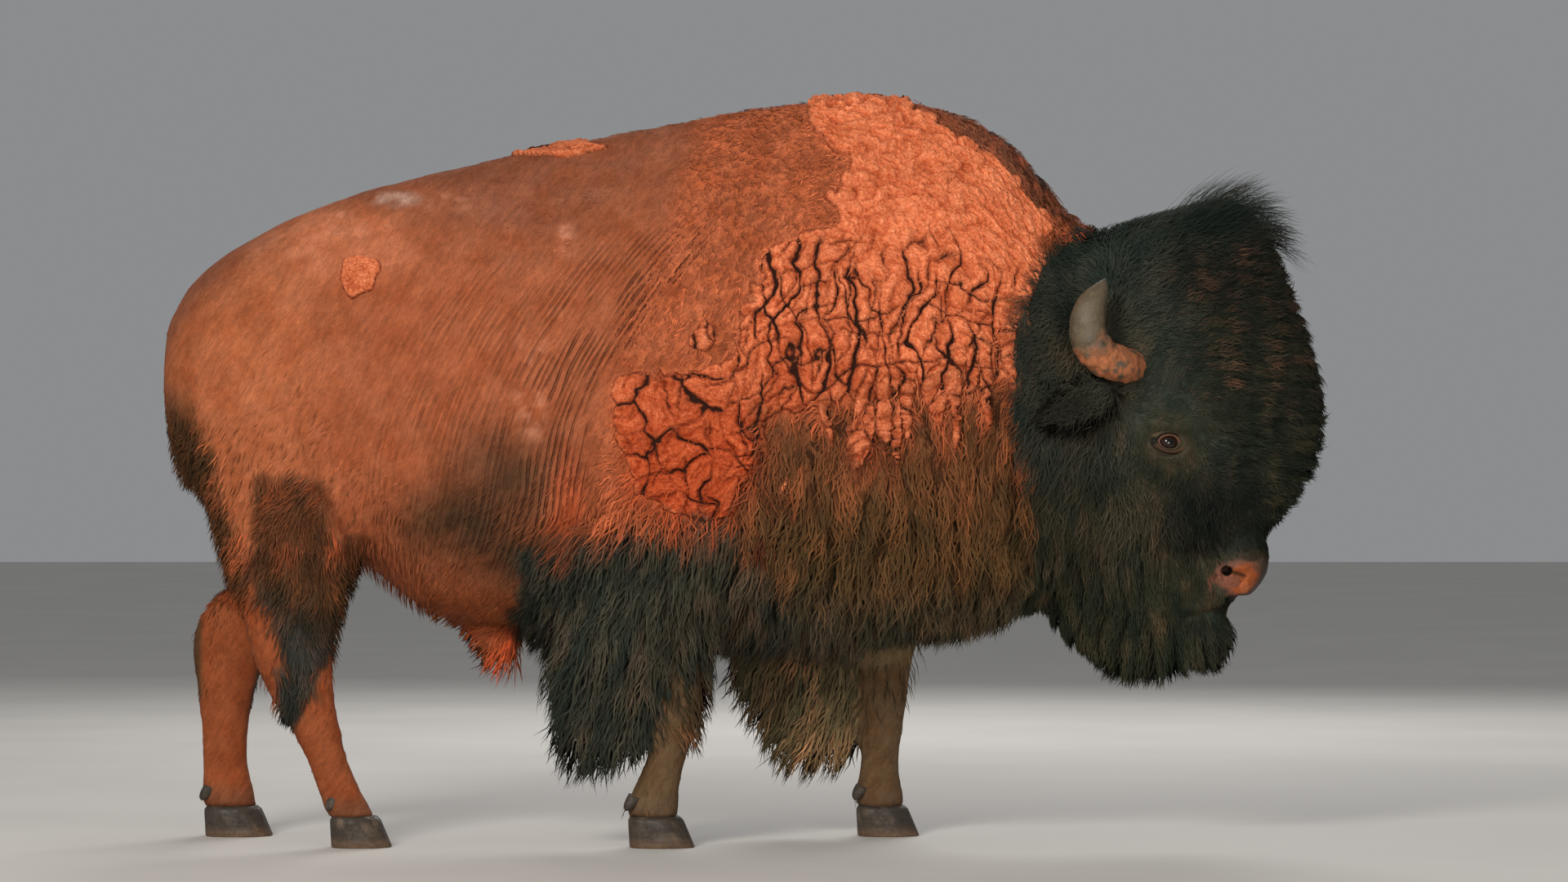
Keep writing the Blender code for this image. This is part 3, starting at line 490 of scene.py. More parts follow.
def cracks(u, v, seed):
    """Distance to the nearest edge between random cells of size 1, as half the difference of the distances to
    the two nearest centres."""
    cell_u, cell_v = np.floor(u).astype(np.int64), np.floor(v).astype(np.int64)
    first, second = np.full(u.shape, 9.0), np.full(u.shape, 9.0)
    tag = np.full(u.shape, seed)
    for du, dv in itertools.product((-1, 0, 1), repeat=2):
        cu, cv = cell_u + du, cell_v + dv
        x = cu + 0.15 + 0.7 * scrambled(cu + 900, cv + 900, tag)
        y = cv + 0.15 + 0.7 * scrambled(cu + 900, cv + 900, tag + 7)
        far = np.hypot(u - x, v - y)
        second = np.where(far < first, first, np.minimum(second, far))
        first = np.minimum(first, far)
    return (second - first) / 2


def within(points, border, soft=0.02, ragged=0.0):
    """1 inside a border drawn in the side view and 0 outside, by the signed distance to its edges, which noise
    can make ragged."""
    x, _, z = points.T
    corners = np.array(border.corners)
    nearest = np.full(len(x), 1e9)
    inside = np.zeros(len(x), bool)
    for (ax, az), (bx, bz) in zip(corners, np.roll(corners, -1, axis=0), strict=True):
        ex, ez = bx - ax, bz - az
        t = np.clip(((x - ax) * ex + (z - az) * ez) / (ex * ex + ez * ez), 0, 1)
        nearest = np.minimum(nearest, np.hypot(x - ax - t * ex, z - az - t * ez))
        crossing = (az > z) != (bz > z)
        inside ^= crossing & (x < ax + (z - az) / np.where(ez == 0, 1e-9, ez) * ex)
    distance = np.where(inside, nearest, -nearest)
    if ragged:
        rough = noise(points, 0.05, border.seed) + 0.5 * noise(points, 0.02, border.seed + 1)
        distance = distance + ragged * rough
    return smooth(-soft, soft, distance)


def blob(points, x, z, wide, high, soft=0.5):
    """1 in the middle of an ellipse drawn in the side view, falling to 0 at its rim."""
    r = np.hypot((points[:, 0] - x) / wide, (points[:, 2] - z) / high)
    return smooth(1.0, 1.0 - soft, r)


def turned(points):
    """Points of the straight head, turned about the upright through HEAD_PIVOT."""
    return rotated(points, HEAD_YAW)


def straightened(points):
    """The reverse of turned: where a point would be in the straight head."""
    return rotated(points, -HEAD_YAW)


def rotated(points, angle):
    """Points turned by an angle about the upright through HEAD_PIVOT."""
    c, s = math.cos(angle), math.sin(angle)
    turn = np.array(((c, -s, 0), (s, c, 0), (0, 0, 1)))
    return (np.asarray(points) - HEAD_PIVOT) @ turn.T + HEAD_PIVOT


# ---- surfaces
def egg(rows, turn, underside=1.0):
    """Width and depth of slices without their coat, at some angles round them: the depth goes with the cosine
    of the angle from the high end and the width with a power of its sine."""
    high, low, half, widest, side, ridge, coat = rows
    inset = np.minimum(coat, 0.5 * half)
    up, across = np.cos(turn), np.sin(turn)
    power = np.where(up > 0, ridge, underside)
    depth = widest + np.where(up > 0, high - inset - widest, widest - low - inset) * up
    width = side + (half - inset) * np.sign(across) * np.abs(across) ** power
    return width, depth


def rings(loft, axis, underside=1.0, step=0.02):
    """A grid of points: rings of eggs along a loft's slices by points round each ring."""
    length = abs(loft[-1].at - loft[0].at)
    rows = eased(loft, int(length / step) + len(loft)).T[:, :, None]
    width, depth = egg(rows[1:], around(RING), underside)
    along = np.broadcast_to(rows[0], depth.shape)
    return np.stack((along, width, depth) if axis == "X" else (depth, width, along), axis=-1)


def tube(path, radii, sides, count):
    """A grid of points round a smooth path: circles square to it, whose radius eases along it."""
    rows = eased(np.column_stack([path, radii]), count)
    centre, radius = rows[:, :3], rows[:, 3]
    along = unit(np.gradient(centre, axis=0))
    across = unit(np.cross(along, (0.0, 0.0, 1.0) if abs(along[:, 2]).max() < 0.8 else (1.0, 0.2, 0.0)))
    other = np.cross(along, across)
    turn = around(sides)
    circle = across[:, None] * np.cos(turn)[:, None] + other[:, None] * np.sin(turn)[:, None]
    return centre[:, None] + circle * radius[:, None, None]


def grid_faces(rows, cols, around):
    """Triangles over a grid of points, which may close round its columns."""
    i, j = np.meshgrid(np.arange(rows - 1), np.arange(cols if around else cols - 1), indexing="ij")
    k = (j + 1) % cols
    a, b, c, d = i * cols + j, i * cols + k, (i + 1) * cols + k, (i + 1) * cols + j
    return np.stack([a, b, c, a, c, d], -1).reshape(-1, 3)


def closed_shell(grid):
    """Points and triangles of a grid that closes round its columns, with a point at the middle of each end and
    all faces out."""
    rows, cols = grid.shape[:2]
    points = np.vstack([grid.reshape(-1, 3), grid[0].mean(0), grid[-1].mean(0)])
    walls = grid_faces(rows, cols, True)
    j = np.arange(cols)
    k = (j + 1) % cols
    last = (rows - 1) * cols
    start = np.stack([np.full(cols, rows * cols), k, j], -1)
    end = np.stack([np.full(cols, rows * cols + 1), last + j, last + k], -1)
    faces = np.vstack([walls[::2], walls[1::2], start, end])
    return points, faces if volume(points, faces) > 0 else faces[:, ::-1]


def volume(points, faces):
    """Signed volume of a closed surface, positive where its faces point out."""
    a, b, c = (points[faces[:, k]] for k in range(3))
    return np.einsum("ij,ij->", a, np.cross(b, c)) / 6


def crossed(corners):
    """Normals of triangles, each as long as twice the triangle's area."""
    return np.cross(corners[:, 1] - corners[:, 0], corners[:, 2] - corners[:, 0])


def joined(shells):
    """Several (points, faces) as one."""
    starts = np.cumsum([0] + [len(p) for p, _ in shells[:-1]])
    faces = [f + start for (_, f), start in zip(shells, starts, strict=True)]
    return np.vstack([p for p, _ in shells]), np.vstack(faces)


def mesh_of(name, points, faces, colours=None, place=None):
    """A Blender mesh of triangles. Each point may have a colour, which with a mark as its fourth number is the
    attribute coat, and a place on the unwrap."""
    mesh = bpy.data.meshes.new(name)
    mesh.vertices.add(len(points))
    mesh.vertices.foreach_set("co", np.asarray(points, np.float32).ravel())
    mesh.loops.add(faces.size)
    mesh.loops.foreach_set("vertex_index", faces.ravel().astype(np.int32))
    mesh.polygons.add(len(faces))
    mesh.polygons.foreach_set("loop_start", np.arange(0, faces.size, 3, dtype=np.int32))
    mesh.update(calc_edges=True)
    if colours is not None:
        if colours.shape[1] == 3:
            colours = np.column_stack([colours, np.ones(len(colours))])
        layer = mesh.color_attributes.new("coat", "FLOAT_COLOR", "POINT")
        layer.data.foreach_set("color", colours.astype(np.float32).ravel())
    if place is not None:
        layer = mesh.uv_layers.new(name="OFBake")
        layer.uv.foreach_set("vector", place[faces.ravel()].astype(np.float32).ravel())
    mesh.shade_smooth()
    return mesh


def linked(name, data):
    """A new object that holds a mesh, a lamp or a camera, in the scene."""
    made = bpy.data.objects.new(name, data)
    bpy.context.scene.collection.objects.link(made)
    return made


def mark(mesh, name, vectors):
    """Stores three numbers on each point as an attribute."""
    layer = mesh.attributes.new(name, "FLOAT_VECTOR", "POINT")
    layer.data.foreach_set("vector", vectors.astype(np.float32).ravel())


def add_piece(name, mesh, finish, replaces=()):
    """A finished piece: its object stands at the origin, rides with the body and may stand for CAD nodes."""
    piece = linked(name, mesh)
    mesh.materials.clear()
    mesh.materials.append(finish)
    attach(piece, BODY)
    if replaces:
        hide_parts(*replaces)


def points_of(mesh):
    """Positions, normals and triangles of a mesh as arrays."""
    count = len(mesh.vertices)
    points, normals = np.empty(count * 3, np.float32), np.empty(count * 3, np.float32)
    mesh.vertices.foreach_get("co", points)
    mesh.vertex_normals.foreach_get("vector", normals)
    mesh.calc_loop_triangles()
    faces = np.empty(len(mesh.loop_triangles) * 3, np.int32)
    mesh.loop_triangles.foreach_get("vertices", faces)
    return points.reshape(-1, 3).astype(float), normals.reshape(-1, 3).astype(float), faces.reshape(-1, 3)


def modified(mesh, *steps):
    """The mesh after some modifiers, each given as its kind and its settings."""
    piece = linked("work", mesh)
    for kind, settings in steps:
        modifier = piece.modifiers.new(kind, kind)
        for key, value in settings.items():
            setattr(modifier, key, value)
    graph = bpy.context.evaluated_depsgraph_get()
    result = bpy.data.meshes.new_from_object(piece.evaluated_get(graph))
    bpy.data.objects.remove(piece)
    return result


# ---- the skin
LIMBS = {
    "hind_right": HIND_RIGHT,
    "hind_left": HIND_LEFT,
    "fore_right": FORE_RIGHT,
    "fore_left": FORE_LEFT,
    "chaps_right": CHAPS_RIGHT,
    "chaps_left": CHAPS_LEFT,
    "sheath": SHEATH,
}
HEAD_LOFTS = {"crown": CROWN, "muzzle": MUZZLE, "beard": BEARD}
HEAD_PARTS = tuple(HEAD_LOFTS)
HIND_PARTS = ("hind_right", "hind_left")
FORE_PARTS = ("fore_right", "fore_left")


def skin_lofts():
    """The slices under the coat, as closed shells that overlap one another."""
    shells = [closed_shell(rings(TRUNK, "X", TRUNK_UNDERSIDE))]
    shells += [closed_shell(turned(rings(loft, "Z"))) for loft in HEAD_LOFTS.values()]
    shells += [closed_shell(rings(loft, "Z")) for loft in LIMBS.values()]
    shells.append(closed_shell(tube(TAIL_PATH, TAIL_RADII, 20, 40)))
    return joined(shells)


def part_names(points):
    """Which loft each point of the skin lies on: the one whose surface is nearest, judged by how far the
    point's share of the slice's size is from 1."""
    lofts = {"trunk": (TRUNK, 0, 2, points)}
    straight = straightened(points)
    lofts |= {name: (loft, 2, 0, straight) for name, loft in HEAD_LOFTS.items()}
    lofts |= {name: (loft, 2, 0, points) for name, loft in LIMBS.items()}
    best = np.full(len(points), 1e9)
    names = np.full(len(points), "trunk", dtype="U12")
    for name, (loft, along, deep, where) in lofts.items():
        table = np.array(sorted(loft))
        at = where[:, along]
        high, low, half, widest, side, _, coat = (np.interp(at, table[:, 0], table[:, k]) for k in range(1, 8))
        depth = where[:, deep] - widest
        reach = np.where(depth > 0, high - widest, widest - low) - coat
        share = np.hypot(depth / reach, (where[:, 1] - side) / (half - coat))
        past_ends = np.maximum(0, np.maximum(table[0, 0] - at, at - table[-1, 0]))
        miss = np.abs(share - 1) * half + 10 * past_ends
        names[miss < best] = name
        best = np.minimum(best, miss)
    return names


def refine(mesh, chosen):
    """Halves every edge between chosen points."""
    builder = bmesh.new()
    builder.from_mesh(mesh)
    edges = [e for e in builder.edges if chosen[e.verts[0].index] and chosen[e.verts[1].index]]
    bmesh.ops.subdivide_edges(builder, edges=edges, cuts=1, use_grid_fill=True)
    builder.to_mesh(mesh)
    builder.free()


def near_eye(straight):
    """Distance of each point from the eye on its own side of the straight head."""
    mirrored = straight * (1, 0, 1) + np.abs(straight) * (0, 1, 0)
    return np.linalg.norm(mirrored - EYE, axis=1)


def muzzle_share(straight):
    """1 on the short-haired muzzle and 0 behind a slanting line across the face."""
    return smooth(-0.02, 0.03, 0.513 * (straight[:, 0] - 1.3) - 0.858 * (straight[:, 2] - 0.762))


NOSE_PATCHES = (  # colour, x and z in the straight head, half width and half height, and strength
    (NOSE_GREY, 1.115, 0.612, 0.06, 0.052, 0.7),
    # painted shade on the top of the muzzle
    (NOSE_TOP_SHADE, 1.195, 0.68, 0.085, 0.044, 0.95),
    (NOSE_BACK, 1.145, 0.659, 0.03, 0.036, 0.8),
    (NOSE_BACK, 1.205, 0.64, 0.062, 0.05, 0.9),
    (NOSE_SKIN, 1.208, 0.637, 0.04, 0.04, 1.0),
    (NOSE_BACK, 1.186, 0.634, 0.02, 0.019, 0.8),
    (NOSE_PALE, 1.213, 0.619, 0.011, 0.018, 0.6),
    # painted shade: a thin dark line along the nose pad's rim
    (NOSE_SHADE, 1.228, 0.69, 0.03, 0.01, 0.8),
)
SMOKE_AREAS = (  # x, z, half width, half height and strength of the smoky hair on the flank
    (-0.56, 0.885, 0.24, 0.2, 0.75),
    (-0.68, 0.765, 0.27, 0.18, 0.78),
    (-0.49, 0.68, 0.24, 0.14, 0.95),
)
DUST_AREAS = (  # x, z, half width and half height of the dusty spots on the back and ribs
    (-0.71, 1.54, 0.07, 0.035),
    (-0.98, 1.51, 0.03, 0.02),
    (-0.42, 1.45, 0.035, 0.06),
    (-0.5, 1.1, 0.06, 0.2),
)
FORMS = (  # broad forms of muscle and bone: x, z, their reach along x and z, and how far they stand out
    (-1.02, 1.37, 0.09, 0.07, 0.016),
    (-1.27, 1.17, 0.08, 0.1, 0.008),
    (-1.13, 1.03, 0.15, 0.16, 0.014),
    (-0.86, 1.2, 0.1, 0.2, -0.02),
    (-0.93, 1.02, 0.07, 0.16, -0.01),
    (-1.01, 0.82, 0.05, 0.08, 0.008),
    (-0.6, 0.95, 0.22, 0.24, 0.016),
    (-0.38, 0.98, 0.06, 0.3, -0.01),
    (-0.25, 1.45, 0.05, 0.25, -0.006),
)


def body_forms(points, normals):
    """Height of the body's own relief: soft mounds and hollows, folds before the thigh and behind the shoulder,
    broad creases on the ribs and a slight unevenness all over."""
    x, _, z = points.T
    facing = smooth(0.2, 0.7, np.abs(normals[:, 1]))
    height = np.zeros(len(points))
    for fx, fz, wide, high, rise in FORMS:
        height += rise * facing * mound(x - fx, z - fz, wide, high)
    fold = x - np.interp(z, (0.66, 0.76, 0.86, 0.96, 1.1), (-0.905, -0.935, -0.985, -1.03, -1.04))
    thigh_fold = 0.016 * facing * smooth(1.12, 0.9, z) * smooth(0.62, 0.7, z)
    height -= thigh_fold * np.exp(-((fold / 0.018) ** 2))
    line = np.column_stack([crease_line(points), 0.1 * z, 0 * z])
    height += 0.0024 * rib_creases(points) * facing * noise(line, 0.03, 5)
    shoulder_fold = 0.01 * facing * np.exp(-(((line[:, 0] + 0.375) / 0.016) ** 2))
    height -= shoulder_fold * smooth(0.76, 0.84, z) * smooth(1.1, 0.95, z)
    height += 0.002 * noise(points, 0.07, 3) + 0.001 * noise(points, 0.03, 4)
    return height


def crease_line(points):
    """A number that is the same all along one crease of the ribs, in metres: the creases rise upright from the
    belly and lean further forward the higher they go, as x = c + 0.13 h + 0.65 h^2 with h = z - 0.87."""
    h = points[:, 2] - 0.87
    return points[:, 0] - 0.13 * h - 0.65 * h * np.abs(h)


def rib_creases(points):
    """How deeply the skin is creased: most just behind the shoulder, fading out on the flank and the back."""
    line, z = crease_line(points), points[:, 2]
    share = (0.3 + 0.7 * smooth(-0.72, -0.5, line)) * smooth(-1.02, -0.84, line)
    share = share * smooth(-0.34, -0.4, line)
    return share * smooth(0.62, 0.74, z) * smooth(1.5, 1.3, z + 0.08 * noise(points, 0.12, 6))


def face_forms(straight):
    """Height of the face's relief: rounded orbits under a brow, nostrils made of mounds and a slit, lips and a
    groove for the mouth."""
    x, y, z = straight[:, 0], np.abs(straight[:, 1]), straight[:, 2]
    eye = near_eye(straight)
    height = 0.018 * smooth(0.115, 0.045, eye) - 0.02 * smooth(0.036, 0.02, eye)
    ahead, above = x - EYE[0], z - EYE[2]
    brow = mound(above - 0.045 + 0.25 * ahead, ahead + 0.004, 0.014, 0.055)
    under = mound(above + 0.044 + 0.15 * ahead, ahead + 0.002, 0.006, 0.04)
    height += smooth(0.11, 0.08, eye) * (0.01 * brow - 0.005 * under)
    fx, fz = x - NOSTRIL[0], z - NOSTRIL[2]
    hole = np.hypot(fx / NOSTRIL_HOLE, fz / 0.011)
    slit = nose_slit(straight)
    wing = mound(fx - 0.036, fz - 0.008, 0.022, 0.008)
    lobe = mound(fx - 0.052, fz + 0.026, 0.013, 0.022)
    dent = mound(fx - 0.018, fz + 0.024, 0.014, 0.016)
    rear = mound(fx + 0.022, fz, 0.008, 0.018)
    flank = smooth(0.03, 0.055, y)
    height -= flank * (0.026 * smooth(1.25, 0.55, hole) + 0.007 * slit + 0.004 * dent)
    height += flank * (0.006 * wing + 0.004 * rear + 0.005 * lobe)
    lip = smooth(1.05, 1.1, x) * np.exp(-(((z - mouth_height(x) - 0.016) / 0.01) ** 2))
    height += -0.01 * mouth_line(straight) + 0.002 * lip
    philtrum = np.exp(-((y / 0.004) ** 2)) * smooth(1.22, 1.24, x) * smooth(0.7, 0.66, z)
    return height - 0.003 * philtrum


def nose_slit(straight):
    """1 along the slit that runs forward and down from the nostril."""
    fx, fz = straight[:, 0] - NOSTRIL[0], straight[:, 2] - NOSTRIL[2]
    return smooth(0.0, 0.008, fx) * smooth(0.05, 0.04, fx) * np.exp(-(((fz + 0.3 * fx) / 0.0042) ** 2))


def mouth_height(x):
    """Height of the corner and line of the mouth at x in the straight head."""
    return np.minimum(0.552 + 0.27 * (x - 1.056), 0.588)


def mouth_line(straight):
    """1 on the line of the mouth."""
    gap = straight[:, 2] - mouth_height(straight[:, 0])
    return smooth(1.03, 1.07, straight[:, 0]) * np.exp(-((gap / 0.007) ** 2))


def leg_forms(points, names):
    """Height of the legs' relief: a hollow before the hock's tendon, and wrinkles lower down."""
    z = points[:, 2]
    height = np.zeros(len(points))
    for name, hock in (("hind_right", -1.08), ("hind_left", -1.23)):
        height -= (names == name) * 0.012 * mound(points[:, 0] - hock + 0.035, z - 0.6, 0.022, 0.1)
    lower = np.isin(names, HIND_PARTS + FORE_PARTS)
    wrinkles = noise(points * (0.4, 0.4, 1.0), 0.011, 9)
    return height + lower * smooth(0.45, 0.3, z) * 0.0012 * wrinkles


def thigh_share(points, names):
    """1 on the dark hair of the thighs: on the outside of each hind leg, and on both sides lower down."""
    near, far = (within(points + (d, 0, 0), THIGH_EDGE, 0.022, 0.026) for d in (0.0, THIGH_SHIFT))
    outside = np.maximum(smooth(0.15, 0.19, np.abs(points[:, 1])), names == "hind_right")
    hind = np.isin(names, (*HIND_PARTS, "trunk"))
    return hind * outside * np.where(points[:, 1] < 0, near, far)


def forehead_share(points):
    """1 on the front of the head, where the wool lies in level rows, and 0 on its sides and crown."""
    x, _, z = points.T
    return smooth(1.01, 1.14, x + 0.25 * (z - 1.1) + 0.04 * noise(points, 0.06, 16)) * smooth(1.5, 1.38, z)


def wool_rows(points):
    """From -1 to 1 across level rows of wool: a clipped sine of the height, bent and broken up."""
    bend = 0.017 * noise(points, 0.055, 93) + 0.008 * noise(points, 0.02, 94)
    row = np.sin(2 * math.pi * (points[:, 2] + 0.05 * points[:, 0] + bend) / ROW_STEP)
    return np.clip(row * (0.75 + 0.8 * noise(points, 0.04, 97)), -1, 1)


def rear_edge(points):
    """How far each point lies before the rear outline of the thighs."""
    heights, edge = (0.6, 0.75, 0.87, 1.0, 1.15), (-1.2, -1.24, -1.28, -1.322, -1.35)
    return points[:, 0] - np.interp(points[:, 2], heights, edge)


def flooded(colour, count):
    """One colour on that many points."""
    return np.tile(np.array(colour), (count, 1))


def coat_colour(points, names):
    """The coat's colour at each point of the skin: each region's own colour, blended at ragged borders."""
    colour = flooded(RUMP, len(points))
    patchy = 0.5 + 0.35 * noise(points, 0.09, 14) + 0.25 * noise(points, 0.04, 15)

    def lay(new, share):
        colour[:] = mix(colour, new, np.clip(share, 0, 1)[:, None])

    colour_body(lay, points, patchy)
    colour_wool(lay, points, patchy)
    colour_legs(lay, points, names, patchy)
    colour_head(lay, points, names, patchy)
    return colour * (1 + 0.1 * noise(points, 0.05, 12) + 0.08 * noise(points, 0.012, 13))[:, None]


def colour_body(lay, points, patchy):
    """The short red hair: paler and dusty along the back, smoky low on the flank."""
    x, _, z = points.T
    broad = 0.5 + 0.5 * noise(points, 0.22, 11)
    lay(FLANK, smooth(-1.12, -0.86, x) * smooth(-0.2, 0.6, broad + 0.3))
    top = z - np.interp(x, (-1.4, -1.08, -0.69, -0.2), (1.22, 1.52, 1.64, 1.75))
    along_back = 0.1 * smooth(-0.9, -0.5, x) - 0.12 * smooth(-0.75, -0.95, x)
    lay(BACK, smooth(-0.2, -0.03, top + 0.05 * patchy + along_back) * (0.35 + 0.65 * patchy))
    lay(BACK, blob(points, -0.53, 1.48, 0.26, 0.15, 0.9) * 0.55 * patchy)
    lay(RUMP_TOP, blob(points, -0.98, 1.45, 0.3, 0.13, 0.9) * 0.7)
    lay(BELLY, smooth(0.7, 0.56, z) * 0.75)
    for sx, sz, wide, high, share in SMOKE_AREAS:
        lay(SMOKE, share * blob(points, sx, sz, wide, high, 1.0) * (0.75 + 0.8 * patchy))
    lay(CAPE_LOW, 0.55 * blob(points, -0.41, 0.8, 0.07, 0.2, 0.9))
    speckle = smooth(-0.3, 0.4, noise(points, 0.018, 21) + noise(points, 0.045, 22))
    for dx, dz, wide, high in DUST_AREAS:
        lay(DUST, blob(points, dx, dz, wide, high, 0.9) * speckle * 0.65)
    chalk = blob(points, -0.84, 1.552, 0.085, 0.03, 0.8)
    lay(CHALK, chalk * smooth(-0.5, 0.2, noise(points, 0.03, 23)) * 0.9)
    lay(SHOULDER, within(points, SHOULDER_EDGE, 0.05, 0.02))
    # painted shade: a darker red on the front slope of the hump, which turns away from the light
    lay(HUMP_SHADE, smooth(0.4, 0.56, x) * smooth(1.46, 1.6, z) * smooth(0.92, 0.86, x))


def colour_wool(lay, points, patchy):
    """The cape's red wool, and the mane, which darkens toward the chest except under the cape's tongues."""
    x, _, z = points.T
    cape = within(points, CAPE_EDGE, 0.012, 0.014)
    lay(CAPE, cape)
    lay(CAPE_LOW, cape * smooth(1.28, 0.98, z + 0.1 * noise(points, 0.1, 8)) * smooth(0.4, 0.2, x))
    mane = within(points, MANE_EDGE, 0.05, 0.03)
    lay(MANE_RED, mane)
    lay(MANE_MID, mane * smooth(1.12, 0.96, z - 0.2 * (x - 0.4) + 0.05 * patchy))
    lay(MANE_LOW, mane * smooth(0.94, 0.76, z - 0.1 * (x - 0.4)))
    lay(CHEST, mane * smooth(0.74, 0.6, z))
    tongue = mix(np.array(TONGUE) * 0.26, TONGUE, smooth(0.9, 1.12, z)[:, None])
    lay(tongue, cape_share(points) * mane)
    lay(CHEST, smooth(0.62, 0.54, z) * smooth(0.0, 0.2, x))


def colour_legs(lay, points, names, patchy):
    """The chaps, the dark hair down the thighs, and the bare-looking shins, sheath and pasterns."""
    x, y, z = points.T
    fore = within(points, FORELEG_EDGE, 0.03, 0.03)
    lay(LEG_HAIR, fore)
    lay(LEG_BROWN, fore * smooth(-0.28, -0.1, x - 0.3 * (x > 0.05) + 0.15 * (0.5 - patchy)))
    # paler dusty hair on the inner side of the far foreleg, made lighter still as painted light where the body's
    # shadow falls
    lay(LEG_DUST_AND_LIGHT, fore * (y > 0) * smooth(0.26, 0.16, y) * (0.6 + 0.6 * patchy))
    lay(BELLY, 0.5 * blob(points, 0.03, 0.604, 0.075, 0.055, 0.8) * smooth(0.3, 0.7, patchy))
    hind, shin = np.isin(names, HIND_PARTS), np.isin(names, FORE_PARTS)
    rear = smooth(0.07, 0.0, rear_edge(points) + 0.03 * patchy)
    lay(THIGH, smooth(1.14, 1.0, z) * smooth(0.5, 0.6, z) * rear)
    lay(THIGH, blob(points, -1.268, 0.925, 0.03, 0.045, 0.8))
    lay(CANNON, hind * smooth(0.66, 0.6, z))
    dark = thigh_share(points, names)
    lay(mix(THIGH, THIGH_RED, 0.35), dark)
    lay(THIGH, dark * smooth(0.72, 0.62, z))
    lay(LEG_BLACK, dark * smooth(0.68, 0.5, z + 0.6 * (x + 1.1)))
    heel = (names == "hind_left") * smooth(-1.322, -1.34, x)
    lay(THIGH, heel * smooth(0.6, 0.52, z) * smooth(0.3, 0.36, z))
    lay(FORE_SKIN, shin * smooth(0.46, 0.4, z))
    lay(SHEATH_SKIN, (names == "sheath") * 0.8)
    lay(PASTERN, (hind | shin) * smooth(0.14, 0.09, z) * 0.5)


def colour_head(lay, points, names, patchy):
    """The dark wool of head and beard, the bare nose and lips, and the skin round the eyes, with painted shade on
    the front of the face, the top of the muzzle, the nostrils, the nose's slit and rim and the mouth.
    """
    x, _, z = points.T
    straight = straightened(points)
    head = np.isin(names, HEAD_PARTS) | (within(points, HEAD_EDGE, 0.001) > 0.5)
    lay(DARK_WOOL, head * within(points, HEAD_EDGE, 0.02, 0.02))
    lay(TEMPLE, head * blob(points, 0.84, 1.12, 0.26, 0.3, 0.9))
    lay(FOREHEAD, head * forehead_share(points))
    lay(CHEEK, head * smooth(1.02, 0.86, z + 0.06 * patchy) * smooth(1.22, 1.1, x))
    # painted shade: darker patches between the eye and the nose, on the front of the muzzle and high on the front
    # of the head
    lay(FACE_SHADE, head * blob(points, 1.11, 0.815, 0.19, 0.15, 0.8) * (0.75 + 0.4 * patchy))
    lay(FACE_SHADE, head * blob(points, 1.22, 0.735, 0.14, 0.08, 0.8) * 0.9)
    lay(FACE_SHADE, head * blob(points, 1.11, 1.37, 0.22, 0.15, 0.8) * 0.85)
    lay(BEARD_HAIR, head * smooth(0.74, 0.62, z) * (0.6 + 0.6 * patchy))
    lay(CHIN_HAIR, head * smooth(0.62, 0.55, z) * smooth(1.02, 1.1, x))
    muzzle = head * muzzle_share(straight) * (straight[:, 2] > 0.57) * (straight[:, 0] > 1.0)
    lay(MUZZLE_HAIR, muzzle)
    mx, my, mz = straight[:, 0], np.abs(straight[:, 1]), straight[:, 2]
    for tint, nx, nz, wide, high, share in NOSE_PATCHES:
        patch = np.hypot((mx - nx) / wide, (mz - nz) / high) + 0.14 * noise(points, 0.013, 24)
        lay(tint, muzzle * smooth(1.1, 0.7, patch) * share)
    # painted shade on the top plane of the muzzle's front
    lay(NOSE_TOP_SHADE, muzzle * smooth(1.24, 1.258, mx) * smooth(0.72, 0.7, mz) * 0.8)
    front = muzzle * smooth(0.06, 0.036, my) * smooth(1.13, 1.17, mx)
    # painted shade down the middle of the nose's front, in its slit and along the mouth
    lay(NOSE_SHADE, front * smooth(0.7, 0.68, mz) * 0.9)
    lay(NOSE_SHADE, muzzle * nose_slit(straight) * 0.9)
    lay(NOSE_SHADE, head * mouth_line(straight) * smooth(1.2, 1.16, mx) * 0.85)
    # painted shade: the nostril's opening is painted near black
    hole = np.hypot((mx - NOSTRIL[0]) / NOSTRIL_HOLE, (mz - NOSTRIL[2]) / NOSTRIL_HOLE)
    lay(NOSTRIL_SHADE, muzzle * smooth(1.15, 0.85, hole) * smooth(0.04, 0.06, my))
    lay(LID_SKIN, head * smooth(0.1, 0.06, near_eye(straight)) * 0.8)
    lay(LID_BROWN, head * smooth(0.085, 0.05, near_eye(straight)) * 0.8)


def nose_leather(points, names):
    """1 on the bare leather of the nose and lips."""
    straight = straightened(points)
    pad = np.hypot((straight[:, 0] - 1.215) / 0.062, (straight[:, 2] - 0.65) / 0.048)
    return np.isin(names, HEAD_PARTS) * smooth(1.15, 0.85, pad)


class Skin:
    """The finished skin as arrays, shared by the pieces that grow on it."""

    points = normals = faces = names = colours = None


